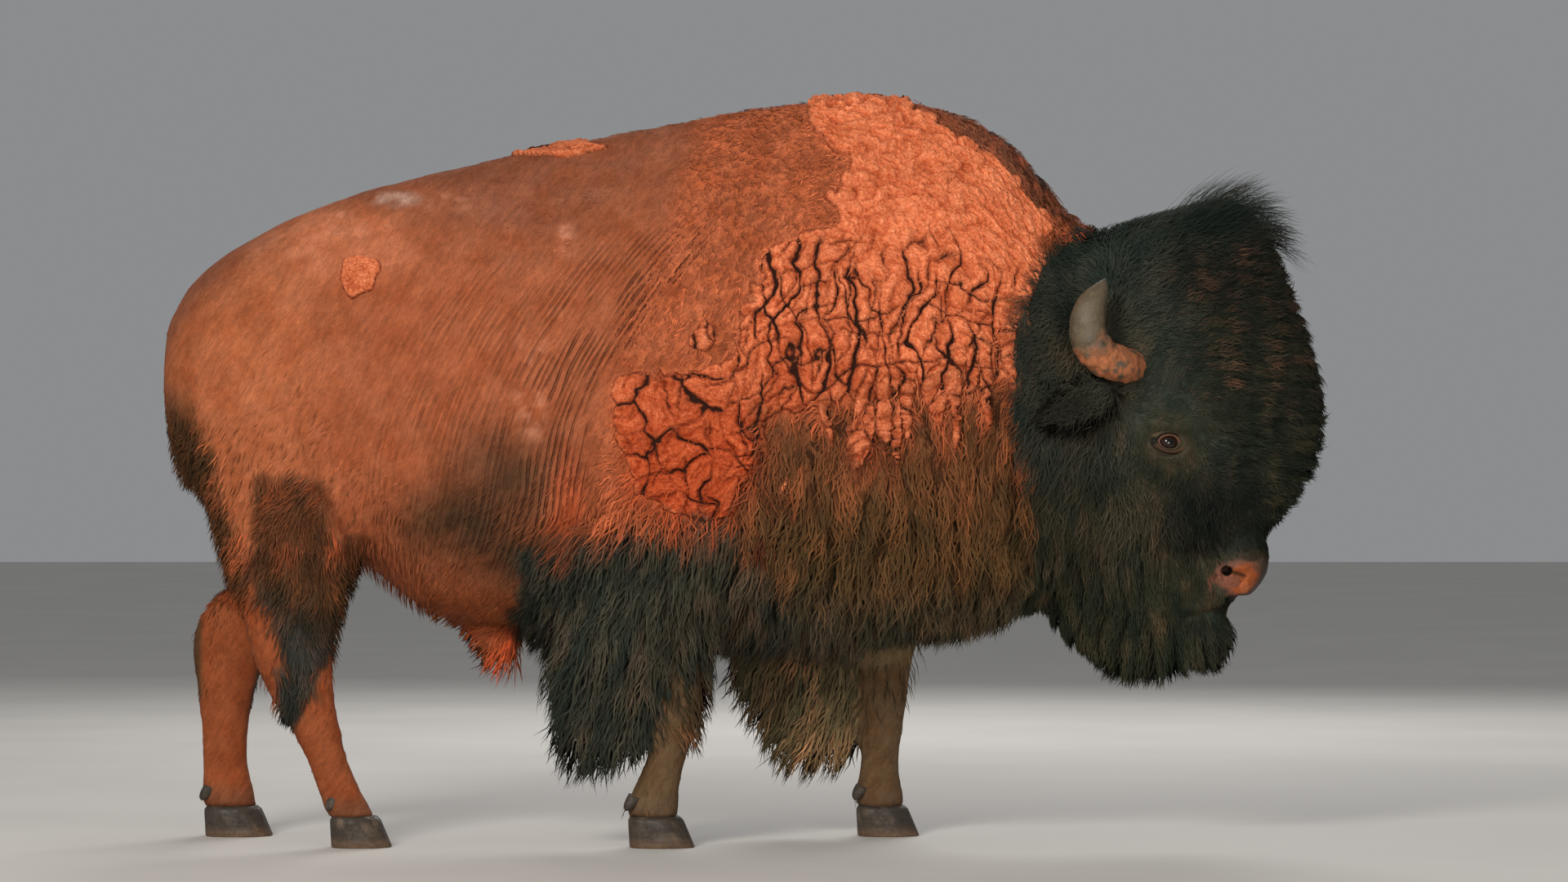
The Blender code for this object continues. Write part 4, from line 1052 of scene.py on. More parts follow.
def make_skin(finish, voxel):
    """Merges the lofts, halves the mesh round the eyes and nostrils three times, and raises the relief along the
    normals. The coat's fourth number is the share of curls. The marks are how creased the ribs are, how bare
    the nose is, and the crease's own line."""
    points, faces = skin_lofts()
    mesh = modified(
        mesh_of("skin", points, faces),
        ("REMESH", {"mode": "VOXEL", "voxel_size": voxel}),
        ("SMOOTH", {"factor": 0.5, "iterations": 8}),
    )
    for reach in (0.08, 0.062, 0.036):
        straight = straightened(points_of(mesh)[0])
        gap = straight * (1, 0, 1) - NOSTRIL * (1, 0, 1) - (0.012, 0, 0)
        on_muzzle = np.linalg.norm(gap, axis=1) < reach * 1.25
        refine(mesh, on_muzzle | (near_eye(straight) < reach * 0.9))
    mesh = modified(mesh, ("SMOOTH", {"factor": 0.5, "iterations": 2}), ("TRIANGULATE", {}))
    points, normals, faces = points_of(mesh)
    names = part_names(points)
    on_head = np.isin(names, HEAD_PARTS)
    straight = straightened(points)
    height = np.where(on_head, face_forms(straight), body_forms(points, normals)) + leg_forms(points, names)
    brow = 0.005 * on_head * forehead_share(points) * smooth(0.8, 0.9, straight[:, 2])
    height += brow * wool_rows(points)
    mane = within(points, MANE_EDGE, 0.05, 0.03) * ~on_head
    height += LOCK_RIDGE * mane * (0.6 - 2.4 * np.abs(lock_phase(points)) ** 1.5)
    points = points + normals * height[:, None]
    colours = coat_colour(points, names)
    curls = within(points, SHOULDER_EDGE, 0.08, 0.03) * smooth(0.8, 0.95, points[:, 2]) * ~on_head
    mesh = mesh_of("skin", points, faces, np.column_stack([colours, curls]))
    leather = nose_leather(points, names)
    mark(mesh, "marks", np.column_stack([rib_creases(points), leather, crease_line(points)]))
    Skin.points, Skin.normals, Skin.faces = points_of(mesh)
    Skin.names, Skin.colours = names, colours
    flesh = ["head", "muzzle", "beard", "neck", "forequarters", "barrel", "hindquarters", "sheath", "tail"]
    for place in HOOVES:
        flesh += ["leg_" + place, "shin_" + place]
    add_piece("skin", mesh, finish, flesh)


# ---- hair
# A growth of hair: how many tufts, rings along each, width at the root, how its length and lift compare with
# the comb's, sideways curl, sag under its own weight, swirl of the lie, how bright the root stays under its
# painted shade, the share and colour of its lighter tips, how strongly it stands in level rows, with painted
# light on their crests and painted shade between them, and in hanging locks, with painted shade in their
# partings, and its slot.
Fleece = namedtuple(
    "Fleece",
    "count rings width long lift curl sag swirl dark tip tint tiers locks slot",
    defaults=(0.0, 0.0, "dark_wool"),
)
COAT = {
    "wool_crown_right": Fleece(17500, 2, 0.004, 1.0, 0.85, 0.14, 0.1, 0.55, 0.78, 0.2, TEMPLE),
    "wool_crown_left": Fleece(11200, 2, 0.0048, 1.0, 0.85, 0.14, 0.1, 0.55, 0.78, 0.2, TEMPLE),
    "wool_forehead": Fleece(19000, 2, 0.004, 0.72, 0.8, 0.14, 0.15, 0.4, 0.66, 0.3, CREST_LIGHT, 0.6),
    "wool_wisps": Fleece(800, 5, 0.002, 2.9, 1.1, 0.05, -0.06, 0.3, 0.6, 0.2, TEMPLE),
    "hair_beard": Fleece(11500, 3, 0.0046, 1.0, 0.8, 0.06, 0.4, 0.25, 0.65, 0.3, CHEEK, 0.0, 0.6),
    "hair_mane": Fleece(12200, 3, 0.0056, 1.0, 0.6, 0.09, 0.35, 0.42, 0.86, 0.0, MANE_RED, 0.0, 1.0, "brown_hair"),
    "hair_chaps_right": Fleece(7500, 3, 0.005, 1.0, 0.9, 0.06, 0.4, 0.35, 0.65, 0.3, LEG_BROWN, 0.0, 0.6),
    "hair_chaps_left": Fleece(5400, 3, 0.0054, 1.0, 0.9, 0.06, 0.4, 0.35, 0.65, 0.3, LEG_DUST_AND_LIGHT, 0.0, 0.6),
    "wool_shoulder": Fleece(9500, 2, 0.0046, 0.9, 0.6, 0.12, 0.0, 0.9, 0.72, 0.0, CAPE, 0.0, 0.0, "red_hair"),
    "wool_cape": Fleece(3000, 2, 0.0034, 1.0, 0.8, 0.15, 0.0, 0.9, 0.75, 0.3, DUST, 0.0, 0.0, "red_hair"),
    "hair_body": Fleece(8300, 2, 0.0044, 1.0, 0.7, 0.03, 0.0, 0.35, 0.9, 0.1, DUST, 0.0, 0.0, "red_hair"),
    "hair_legs": Fleece(9000, 2, 0.0042, 1.0, 1.0, 0.06, 0.1, 0.6, 0.7, 0.1, THIGH_RED, 0.0, 0.3, "brown_hair"),
    "hair_face": Fleece(7000, 2, 0.0026, 1.0, 0.9, 0.04, 0.0, 0.3, 0.8, 0.2, NOSE_TOP_SHADE),
}


def combed(points, normals):
    """Lie, length and lift of the hair: the strokes of COMB, each weighing one over the fourth power of its
    distance in the side view, with the lie laid along the skin. Under an overhang it leaves the skin to hang."""
    table = np.array(COMB)
    gap = points[:, None, [0, 2]] - table[None, :, :2]
    share = ((gap**2).sum(2) + 0.0004) ** -2
    share /= share.sum(1, keepdims=True)
    way = share @ table[:, 2:5]
    way[:, 1] *= np.sign(points[:, 1])
    flat = unit(way - normals * np.sum(way * normals, axis=1, keepdims=True))
    hang = np.maximum(0, -normals[:, 2:3])
    return unit(flat + normals * hang), share @ table[:, 5], np.radians(share @ table[:, 6])


def regions():
    """Share of each growth of hair at each point of the skin."""
    points, names = Skin.points, Skin.names
    x, _, z = points.T
    straight = straightened(points)
    head = within(points, HEAD_EDGE, 0.015, 0.015)
    eye = near_eye(straight)
    bare = head * muzzle_share(straight) * (straight[:, 2] > 0.575) * (straight[:, 0] > 1.0)
    low = smooth(0.8, 0.74, z)
    lidded = smooth(0.088, 0.072, eye * np.where(straight[:, 2] > EYE[2], 1.0, 1.1))
    crown = head * (1 - low) * (1 - np.maximum(bare, lidded))
    brow = forehead_share(points)
    fore = within(points, FORELEG_EDGE, 0.02, 0.02) * (1 - head)
    shank, hind = np.isin(names, FORE_PARTS), np.isin(names, HIND_PARTS)
    mane = within(points, MANE_EDGE, 0.02, 0.02) * (1 - head) * (1 - fore)
    mane = mane * (1 - 0.96 * cape_share(points) * hanging(points))
    ridge = smooth(0.42, 0.52, x) * smooth(1.4, 1.5, z) * (1 - head)
    cape = within(points, CAPE_EDGE, 0.02, 0.014) * (1 - head)
    woolly = np.maximum.reduce([head, fore, mane, cape, ridge])
    shoulder = within(points, SHOULDER_EDGE, 0.05, 0.03) * (1 - woolly)
    fringe = smooth(1.14, 1.02, z) * smooth(0.5, 0.6, z) * smooth(0.06, 0.02, rear_edge(points))
    furred = np.maximum(thigh_share(points, names), fringe)
    trunk = (names == "trunk") * (1 - np.maximum.reduce([woolly, shoulder, furred]))
    rim = within(points, CAPE_EDGE, 0.03, 0.014) * (1 - head)
    locks = 0.03 * cape * smooth(1.3, 1.12, z) * smooth(0.16, 0.34, x)
    right = points[:, 1] < 0
    behind = np.maximum(~shank, 0.5 * smooth(-0.165, -0.145, x) * smooth(0.22, 0.3, z))
    thigh = furred + 0.08 * hind * smooth(0.95, 0.85, z)
    oval = np.hypot((straight[:, 0] - EYE[0]) / 1.45, (straight[:, 2] - EYE[2]) / 0.95)
    clear = 1 - smooth(0.044, 0.03, np.where(eye < 0.12, oval, 1.0))
    nose = np.hypot((straight[:, 0] - 1.216) / 0.084, (straight[:, 2] - 0.644) / 0.056)
    return {
        "wool_crown_right": crown * right * (1 - 0.9 * brow),
        "wool_crown_left": crown * ~right * (1 - 0.9 * brow),
        "wool_forehead": crown * brow,
        "wool_wisps": crown * smooth(1.44, 1.48, z) * smooth(1.0, 1.12, x),
        "hair_beard": head * low * (1 - bare),
        "hair_mane": np.maximum(mane, ridge * (1 - cape)) + locks,
        "hair_chaps_right": fore * right * behind,
        "hair_chaps_left": fore * ~right * ~shank,
        "wool_shoulder": shoulder,
        "wool_cape": 4 * rim * (1 - rim) + 0.05 * cape,
        "hair_body": trunk + 0.6 * hind * smooth(0.8, 0.9, z) * (1 - furred),
        "hair_legs": thigh + 0.08 * shank + (names == "sheath"),
        "hair_face": (bare * smooth(0.95, 1.2, nose) + head * lidded * (1 - bare)) * clear,
    }


def sown(weight, count, rng):
    """Roots of tufts: points of the skin in proportion to area and weight, one in each even share of it, with
    their normals and colours."""
    area = np.linalg.norm(crossed(Skin.points[Skin.faces]), axis=1)
    area *= weight[Skin.faces].mean(1)
    ladder = np.cumsum(area) / area.sum()
    picked = np.searchsorted(ladder, (np.arange(count) + rng.random(count)) / count).clip(0, len(area) - 1)
    r, s = rng.random((2, count))
    r, s = np.where(r + s > 1, 1 - r, r), np.where(r + s > 1, 1 - s, s)
    share = np.stack([1 - r - s, r, s], 1)[:, :, None]
    corners = Skin.faces[picked]
    return [(values[corners] * share).sum(1) for values in (Skin.points, Skin.normals, Skin.colours)]


def spikes(root, normal, way, length, width, lift, curl, sag, rings, rng, sink=0.003):
    """Tapered three-sided tufts: each starts under the skin, rises by its lift and bends over to lie along its
    way, sags, and sways in a wave. Its half width is (0.75 + 0.9 s)(1 - s^2) of its own, s from root to tip,
    and its thickness half of that. Returns points, faces, s, side of the tuft, tuft number and shading normal of
    each point: the normals follow the skin's more than the tuft's own sides, so that a growth shades as one."""
    count = len(root)
    s = np.linspace(0, 1, rings + 1)
    side = unit(np.cross(normal, way))
    rise = lift[:, None] * (1.0 - 0.8 * s)
    step = way[:, None] * np.cos(rise)[..., None] + normal[:, None] * np.sin(rise)[..., None]
    step[:, :, 2] -= sag * s
    step = unit(step)
    over = unit(np.cross(step, side[:, None]))
    line = np.concatenate([np.zeros((count, 1, 3)), np.cumsum(step[:, :-1], axis=1)], 1)
    line = line * (length / rings)[:, None, None] + (root - normal * sink)[:, None]
    phase, turns = rng.random((2, count, 1))
    wave = 2 * math.pi * ((0.6 + turns) * s + phase)
    swing = (np.sin(wave) - np.sin(wave[:, :1])) * (curl * length)[:, None]
    lean = (np.cos(wave) - np.cos(wave[:, :1])) * (curl * length)[:, None] * 0.5
    line = line + side[:, None] * swing[..., None] + over * lean[..., None]
    girth = (0.75 + 0.9 * s[:-1]) * (1 - s[:-1] ** 2) * (width / 2)[:, None]
    corner = np.radians((90, 210, 330))
    spread = side[:, None, None] * np.cos(corner)[:, None]
    spread = spread + over[:, :-1, None] * 0.5 * np.sin(corner)[:, None]
    wall = line[:, :-1, None] + spread * girth[..., None, None]
    points = np.concatenate([wall.reshape(count, -1, 3), line[:, -1:]], 1)
    toward = unit(0.6 * normal[:, None, None] + 0.28 * over[:, :-1, None] + 0.15 * unit(spread))
    tip_toward = unit(0.6 * normal + 0.4 * over[:, -1])[:, None]
    shading = np.concatenate([toward.reshape(count, -1, 3), tip_toward], 1).reshape(-1, 3)
    ring, turn = np.meshgrid(np.arange(rings - 1), np.arange(3), indexing="ij")
    a, b = ring * 3 + turn, ring * 3 + (turn + 1) % 3
    walls = np.stack([a, b, b + 3, a, b + 3, a + 3], -1).reshape(-1, 3)
    top = 3 * (rings - 1)
    tip = [(top + k, top + (k + 1) % 3, 3 * rings) for k in range(3)]
    pattern = np.vstack([walls, tip, [(0, 2, 1)]])
    each = 3 * rings + 1
    faces = (pattern[None] + (np.arange(count) * each)[:, None, None]).reshape(-1, 3)
    along = np.tile(np.append(np.repeat(s[:-1], 3), 1.0), count)
    round_it = np.tile(np.append(np.tile((0.0, 1.0, 2.0), rings), 1.0), count) / 3
    return points.reshape(-1, 3), faces, along, round_it, np.repeat(np.arange(count), each), shading


ISLANDS = (  # places of the unwrap: the parts that share one, the axis it turns about, and its corner and size
    (("trunk", "sheath"), None, (0.0, 0.0), (0.6, 0.58)),
    (HEAD_PARTS, (1.02, 0.0), (0.62, 0.0), (0.38, 0.58)),
    (("hind_right",), (-1.08, -0.175), (0.0, 0.6), (0.16, 0.38)),
    (("hind_left",), (-1.2, 0.175), (0.17, 0.6), (0.16, 0.38)),
    (("fore_right",), (-0.17, -0.192), (0.34, 0.6), (0.12, 0.38)),
    (("fore_left",), (0.335, 0.192), (0.47, 0.6), (0.12, 0.38)),
    (("chaps_right",), (-0.22, -0.205), (0.6, 0.6), (0.19, 0.38)),
    (("chaps_left",), (0.22, 0.205), (0.8, 0.6), (0.19, 0.38)),
)


def unwrapped(points, names):
    """The body's own unwrap: each part is a cylinder cut along its inner side. The trunk unrolls about an axis
    along x, so u is x and v the angle, and the others about uprights, so u is the angle and v the height."""
    place = np.zeros((len(points), 2))
    for parts, axis, corner, size in ISLANDS:
        here = np.isin(names, parts)
        x, y, z = points[here].T
        if axis is None:
            flat = np.column_stack([(x + 1.45) / 2.45, 0.5 + np.arctan2(y, z - 1.05) / (2 * math.pi)])
        else:
            flat = np.column_stack([0.5 + np.arctan2(y - axis[1], x - axis[0]) / (2 * math.pi), z / 1.62])
        place[here] = np.array(corner) + np.clip(flat, 0, 1) * np.array(size)
    return place


def shaded(colours, tuft, along, rng, fleece):
    """Tuft colours: painted shade at the root, the coat's own colour by mid length and tinted at the tip,
    each tuft a tone of its own."""
    count = tuft.max() + 1
    shade = np.exp((0.26 - 0.18 * fleece.dark) * rng.standard_normal(count))[tuft, None]
    tipped = (fleece.tip * rng.random(count) ** 2)[tuft] * along**2
    # painted shade: each tuft is darker toward its root, where the coat shades it; on red hair green and blue fall
    # faster than red, on dark hair red falls faster
    light = fleece.dark + (1 - fleece.dark) * smooth(0.0, 0.6, along)
    root_shade_power = (0.85, 1.2, 1.4) if fleece.slot == "red_hair" else (1.3, 1.0, 1.0)
    own = colours[tuft] * shade * light[:, None] ** np.array(root_shade_power)
    return mix(own, fleece.tint, tipped[:, None])


def tuft_mesh(name, built, root, names, colour, fleece, rng):
    """A mesh of the tufts that spikes built. On the unwrap each is a small square at its root's place, and its
    strand numbers run round it, along it and from tuft to tuft."""
    points, faces, along, round_it, tuft, shading = built
    colours = shaded(colour, tuft, along, rng, fleece)
    spot = unwrapped(root, names)[tuft] + BAKE_PATCH * np.column_stack([round_it, along])
    mesh = mesh_of(name, points, faces, colours, spot)
    mark(mesh, "strand", np.column_stack([round_it * 3, along * 1.5, tuft * 7.31 % 61.0]))
    mesh.normals_split_custom_set_from_vertices(shading)
    return mesh


def lock_phase(points):
    """How far each point lies from the middle of its lock, from -0.5 to 0.5: locks hang side by side, and their
    partings wander."""
    stretched = points * (1.0, 1.0, 0.3)
    phase = points[:, 0] / LOCK_WIDTH + 0.9 * noise(stretched, 0.1, 98)
    phase = phase + 0.45 * noise(stretched, 0.035, 99)
    return phase - np.round(phase)


def hair_mesh(name, fleece, weight, rng):
    """All the tufts of one growth as a mesh."""
    root, normal, colour = sown(weight, fleece.count, rng)
    normal = unit(normal)
    way, length, lift = combed(root, normal)
    swirl = fleece.swirl * (noise(root, 0.055, 91) + 0.5 * noise(root, 0.022, 92))
    swirl += 0.18 * fleece.swirl * rng.standard_normal(fleece.count)
    side = np.cross(normal, way)
    way = unit(way * np.cos(swirl)[:, None] + side * np.sin(swirl)[:, None])
    tier = wool_rows(root)
    # painted light and shade of the level rows: the crests are tinted toward a lighter brown and brightened, the
    # hollows between rows darkened
    crest = 0.9 * fleece.tiers * smooth(0.0, 0.9, tier) * smooth(0.96, 1.12, root[:, 2])
    colour = mix(colour, fleece.tint, crest[:, None])
    colour = colour * (1 + 0.7 * fleece.tiers * tier)[:, None]
    aside = lock_phase(root)
    parting = smooth(0.26, 0.46, np.abs(aside)) * fleece.locks
    way = unit(way - aside[:, None] * fleece.locks * (0.75, 0.0, 0.0))
    # painted shade in the partings between locks, deeper high on the neck, with the middles of the locks a little
    # lighter
    colour = colour * (1.08 - (0.62 + 0.2 * smooth(0.8, 0.95, root[:, 2])) * parting)[:, None]
    clump = noise(root * (1, 1, 0.4), 0.028, 95) + 0.5 * noise(root * (1, 1, 0.5), 0.013, 96)
    strength = 1.15 - 0.8 * fleece.dark
    warmth = (1.0, 1.0, 1.1) if fleece.slot == "red_hair" else (1.5, 0.9, 0.8)
    colour = colour * np.exp(strength * clump[:, None] * np.array(warmth))
    spread = 0.75 + 0.5 * rng.random((3, fleece.count))
    length = length * fleece.long * spread[0] * (1 + 0.4 * fleece.tiers * tier)
    lift = lift * fleece.lift * spread[1] * (1 + fleece.tiers * tier) * (1.15 - 0.7 * parting)
    width = fleece.width * spread[2]
    built = spikes(root, normal, way, length, width, lift, fleece.curl, fleece.sag, fleece.rings, rng)
    return tuft_mesh(name, built, root, part_names(root), colour, fleece, rng)


# ---- the matted cape
def slices_at(loft, places):
    """The slices' numbers at any places along a loft, read from a fine easing of its table."""
    fine = eased(loft, 40 * len(loft))
    fine = fine[np.argsort(fine[:, 0])]
    return [np.interp(places, fine[:, 0], fine[:, k]) for k in range(1, 8)]


def hanging(points):
    """1 where the cape's lower edge hangs over the mane."""
    return smooth(0.12, 0.26, points[:, 0]) * smooth(1.34, 1.16, points[:, 2])


def cape_share(points):
    """1 where the mat of shed wool lies: the cape, whose lower edge hangs in tongues over the mane and thins
    out there, and a few clumps that have come away from it."""
    hang = hanging(points)
    tongue = TONGUE_DROP * (1 - 5.0 * lock_phase(points) ** 2)
    tongue = tongue * (0.75 + 0.5 * noise(points * (1, 1, 0.1), 0.06, 44)) - 0.03
    lowered = points + np.column_stack([0 * hang, 0 * hang, hang * tongue])
    sharp = within(lowered, CAPE_EDGE, 0.008, 0.022)
    thin = within(lowered, CAPE_EDGE, 0.026, 0.016)
    share = mix(sharp, thin, hang)
    ragged = 1 + 0.35 * noise(points, 0.03, 43)
    for x, z, wide, high in MATS:
        place = np.hypot((points[:, 0] - x) / wide, (points[:, 2] - z) / high)
        share = np.maximum(share, smooth(1.0, 0.8, place * ragged))
    return share


MATS = (  # x, z, half width and half height of the clumps
    (-0.92, 1.37, 0.054, 0.058),
    (-0.47, 1.678, 0.15, 0.024),
    (-0.12, 0.745, 0.016, 0.014),
    (-0.093, 1.214, 0.034, 0.036),
    (-0.012, 1.072, 0.03, 0.034),
    (0.048, 0.762, 0.03, 0.036),
    (-0.242, 0.742, 0.026, 0.03),
    (0.108, 0.862, 0.028, 0.034),
)


# Families of long cracks in the mat: their spacing, how far they lean per metre down, how much of their length
# gapes (from -1 to 1) and their greatest width. The last family crosses the others.
Fissures = namedtuple("Fissures", "spacing lean share width level")
FISSURES = (
    Fissures(0.054, 0.1, 0.56, 0.0078, False),
    Fissures(0.066, -0.2, 0.4, 0.0062, False),
    Fissures(0.042, 0.42, 0.16, 0.0044, False),
    Fissures(0.046, 0.3, 0.3, 0.0046, True),
)


def fissure(family, u, v, bias, seed):
    """How far a point lies outside the nearest crack of a family, in metres and below zero inside it: the
    cracks are lines of one phase, and a noise along each line opens some stretches, which taper to nothing."""
    along, across = (u, v) if family.level else (v, u)
    wander = noise(np.column_stack([across / 0.1, along / 0.11, 0 * u]), 1.0, seed)
    phase = (across + family.lean * along) / family.spacing + 0.62 * wander
    line = np.round(phase)
    gate = noise(np.column_stack([line * 7.3, along / 0.08, 0 * u]), 1.0, seed + 1)
    width = family.width * smooth(-0.15, 0.6, gate + family.share + bias)
    return np.abs(phase - line) * family.spacing - width / 2 + 0.006 * smooth(0.05, 0.0, width / family.width)


def mat_relief(points, depth, seed):
    """Height from 0 to 1 of matted wool, how far each point lies from a crack, and the wool's crumple. Low
    behind, the mat is cut into broad slabs, which are warped cells. Between cracks it swells like a pillow."""
    x, _, z = points.T
    sizes = (0.085, 0.034, 0.014)
    sway = [noise(points, size, seed + k) for k, size in enumerate(sizes * 2)]
    u = x + 0.018 * sway[0] + 0.012 * sway[1] + 0.005 * sway[2]
    v = depth + 0.026 * sway[3] + 0.012 * sway[4] + 0.005 * sway[5]
    behind = smooth(0.02, -0.06, x + 0.02 * sway[0]) * smooth(1.2, 1.12, z) * smooth(-0.34, -0.31, x)
    above = smooth(1.36, 1.58, z + 0.22 * (x - 0.3) + 0.06 * sway[3])
    ahead = smooth(0.46, 0.66, x)
    bias = -1.7 * above - 0.15 * ahead - 0.7 * behind - 1.5 * smooth(-0.31, -0.34, x)
    clear = np.full(len(x), 0.03)
    for number, family in enumerate(FISSURES):
        clear = np.minimum(clear, fissure(family, u, v, bias, seed + 20 * number))
    slab = cracks(u / 0.112, v / 0.094, seed + 80)
    gape = 0.0075 * smooth(-0.5, 0.3, noise(points, 0.05, seed + 81)) * behind
    clear = np.minimum(clear, slab * 0.102 - gape / 2 + 0.03 * (1 - behind))
    pillow = smooth(-0.001, 0.015, clear)
    fold = ridged(u / 0.034, v / 0.015, seed + 8) * 0.5 + ridged(u / 0.017, v / 0.009, seed + 9) * 0.5
    lump = ridged(u / 0.04, v / 0.026, seed + 10)
    crumple = (0.32 + 0.1 * above) * fold + (0.2 + 0.16 * above) * lump
    relief = (1 - crumple) * (0.62 + 0.38 * pillow) * smooth(-0.0035, 0.0015, clear)
    return relief, clear, fold * 0.6 + lump * 0.4 + 0.3 * (1 - pillow)


def ridged(u, v, seed):
    """1 on the thin lines where a noise of those two coordinates crosses zero, falling to 0 within a third."""
    value = noise(np.column_stack([u, v, np.zeros(len(u))]), 1.0, seed)
    return 1 - np.minimum(np.abs(value) * 3.2, 1.0)


def draped(name, sign, span, grain, skin):
    """A grid over a span of x on one side, with x along and angle round the trunk, laid on the skin: its points,
    normals and faces, and how far each point lies down the side from the ridge."""
    along = np.linspace(*span, int((span[1] - span[0]) / grain))
    turn = np.arccos(np.linspace(1.0, -0.46, int(1.3 / grain)))
    width, depth = egg([r[:, None] for r in slices_at(TRUNK, along)], turn, TRUNK_UNDERSIDE)
    grid = np.stack([np.broadcast_to(along[:, None], depth.shape), width * sign, depth], -1)
    quads = grid_faces(*depth.shape, False)
    faces = quads if sign > 0 else quads[:, ::-1]
    laid = modified(mesh_of(name, grid.reshape(-1, 3), faces), ("SHRINKWRAP", {"target": skin}))
    points, normals, _ = points_of(laid)
    if np.mean(normals[:, 1] * sign) < 0:
        faces, normals = faces[:, ::-1], -normals
    reach = np.linalg.norm(np.diff(grid, axis=1), axis=2)
    down = np.concatenate([np.zeros((len(reach), 1)), np.cumsum(reach, axis=1)], 1).reshape(-1)
    return points, normals, faces, down


def make_mat(name, sign, span, grain, finish, skin, seed):
    """Matted wool on one side: a draped grid, raised by its relief inside the mat and sunk under the skin
    outside it, where faces are left out. The coat's fourth number falls below a half in the cracks."""
    points, normals, faces, down = draped(name, sign, span, grain, skin)
    share = cape_share(points)
    relief, clear, fold = mat_relief(points, down, seed)
    fine = noise(points, 0.0085, seed + 11)
    middle = smooth(-0.34, -0.2, points[:, 0]) * smooth(0.74, 0.5, points[:, 0])
    deep = mix(*MAT_THICKNESS, middle)
    deep = deep * (1 + 0.25 * hanging(points) * (1 - 2 * np.abs(lock_phase(points))))
    clump = 0.5 + 0.5 * noise(points, 0.045, seed + 12)
    thick = 0.002 + deep * relief * (0.85 + 0.25 * clump) + 0.0009 * fine
    height = mix(-0.01, thick, share)
    trunk = np.full(len(points), "trunk")
    colour = coat_colour(points, trunk)
    loose = share * (1 - within(points, CAPE_EDGE, 0.008, 0.016))
    colour = mix(colour, np.array(CAPE) * 0.85, loose[:, None])
    # painted shade: darker along the crumple's grooves and toward the cracks, lighter on the smooth tops, with
    # green and blue changing faster than red
    shade = (0.88 + 0.22 * clump) * (1.2 - 0.68 * fold) * (1 + 0.1 * fine)
    colour *= shade[:, None] ** np.array((0.8, 1.35, 1.7))
    clear = np.clip(0.5 + clear * np.where(share > 0.9, 50.0, 0.0), 0, 1)
    keep = (share[faces].max(1) > 0.05) & (points[faces][:, :, 1].mean(1) * sign > -0.004)
    used, flat = np.unique(faces[keep], return_inverse=True)
    faces = flat.reshape(-1, 3)
    points = points[used] + normals[used] * height[used, None]
    place = unwrapped(points, trunk[used])
    marked = np.column_stack([colour, clear])[used]
    mesh = mesh_of(name, points, faces, marked, place)
    add_piece(name, mesh, finish)


# ---- eyes, horns, ears and hooves
def side_place(point, sign):
    """A point given for the left of the straight head, on either side of the turned head."""
    return turned(np.asarray(point) * (1, sign, 1))


def side_axes(sign):
    """The eye's own axes on one side: forward, up and outwards, leaning a little to the front."""
    out = unit(turned(HEAD_PIVOT + np.array((0.3, sign * 0.95, 0.03))) - HEAD_PIVOT)
    up = unit(np.array((0.0, 0.0, 1.0)) - out * out[2])
    return unit(np.cross(up, out)) * -sign, up, out


def make_eye(name, sign, finish):
    """A ball whose radius swells over the cornea by 6% of a bell curve about its gaze, coloured by the angle
    from the gaze: a wide pupil, a brown iris and a dark white."""
    centre = side_place(EYE, sign)
    forward, up, out = side_axes(sign)
    polar, turn = np.linspace(0, math.pi, 48), around(64)
    radius = EYE_RADIUS * (1 + 0.06 * np.exp(-((polar / 0.55) ** 4)))
    ring = (forward * np.cos(turn)[:, None] + up * np.sin(turn)[:, None]) * np.sin(polar)[:, None, None]
    grid = centre + (out * np.cos(polar)[:, None, None] + ring) * radius[:, None, None]
    points, faces = closed_shell(grid)
    local = (points - centre) @ np.column_stack([forward, up, out])
    across = np.hypot(local[:, 0] / 1.35, local[:, 1]) / EYE_RADIUS
    iris = np.hypot(local[:, 0], local[:, 1]) / EYE_RADIUS
    threads = 0.85 + 0.15 * np.sin(40 * np.arctan2(local[:, 1], local[:, 0]))
    brown = np.array(IRIS) * threads[:, None]
    colour = mix(PUPIL, brown, smooth(0.24, 0.32, across)[:, None])
    colour = mix(colour, EYE_WHITE, smooth(0.56, 0.64, iris)[:, None])
    add_piece(name, mesh_of(name, points, faces, colour), finish, [name.replace("eyeball", "eye")])


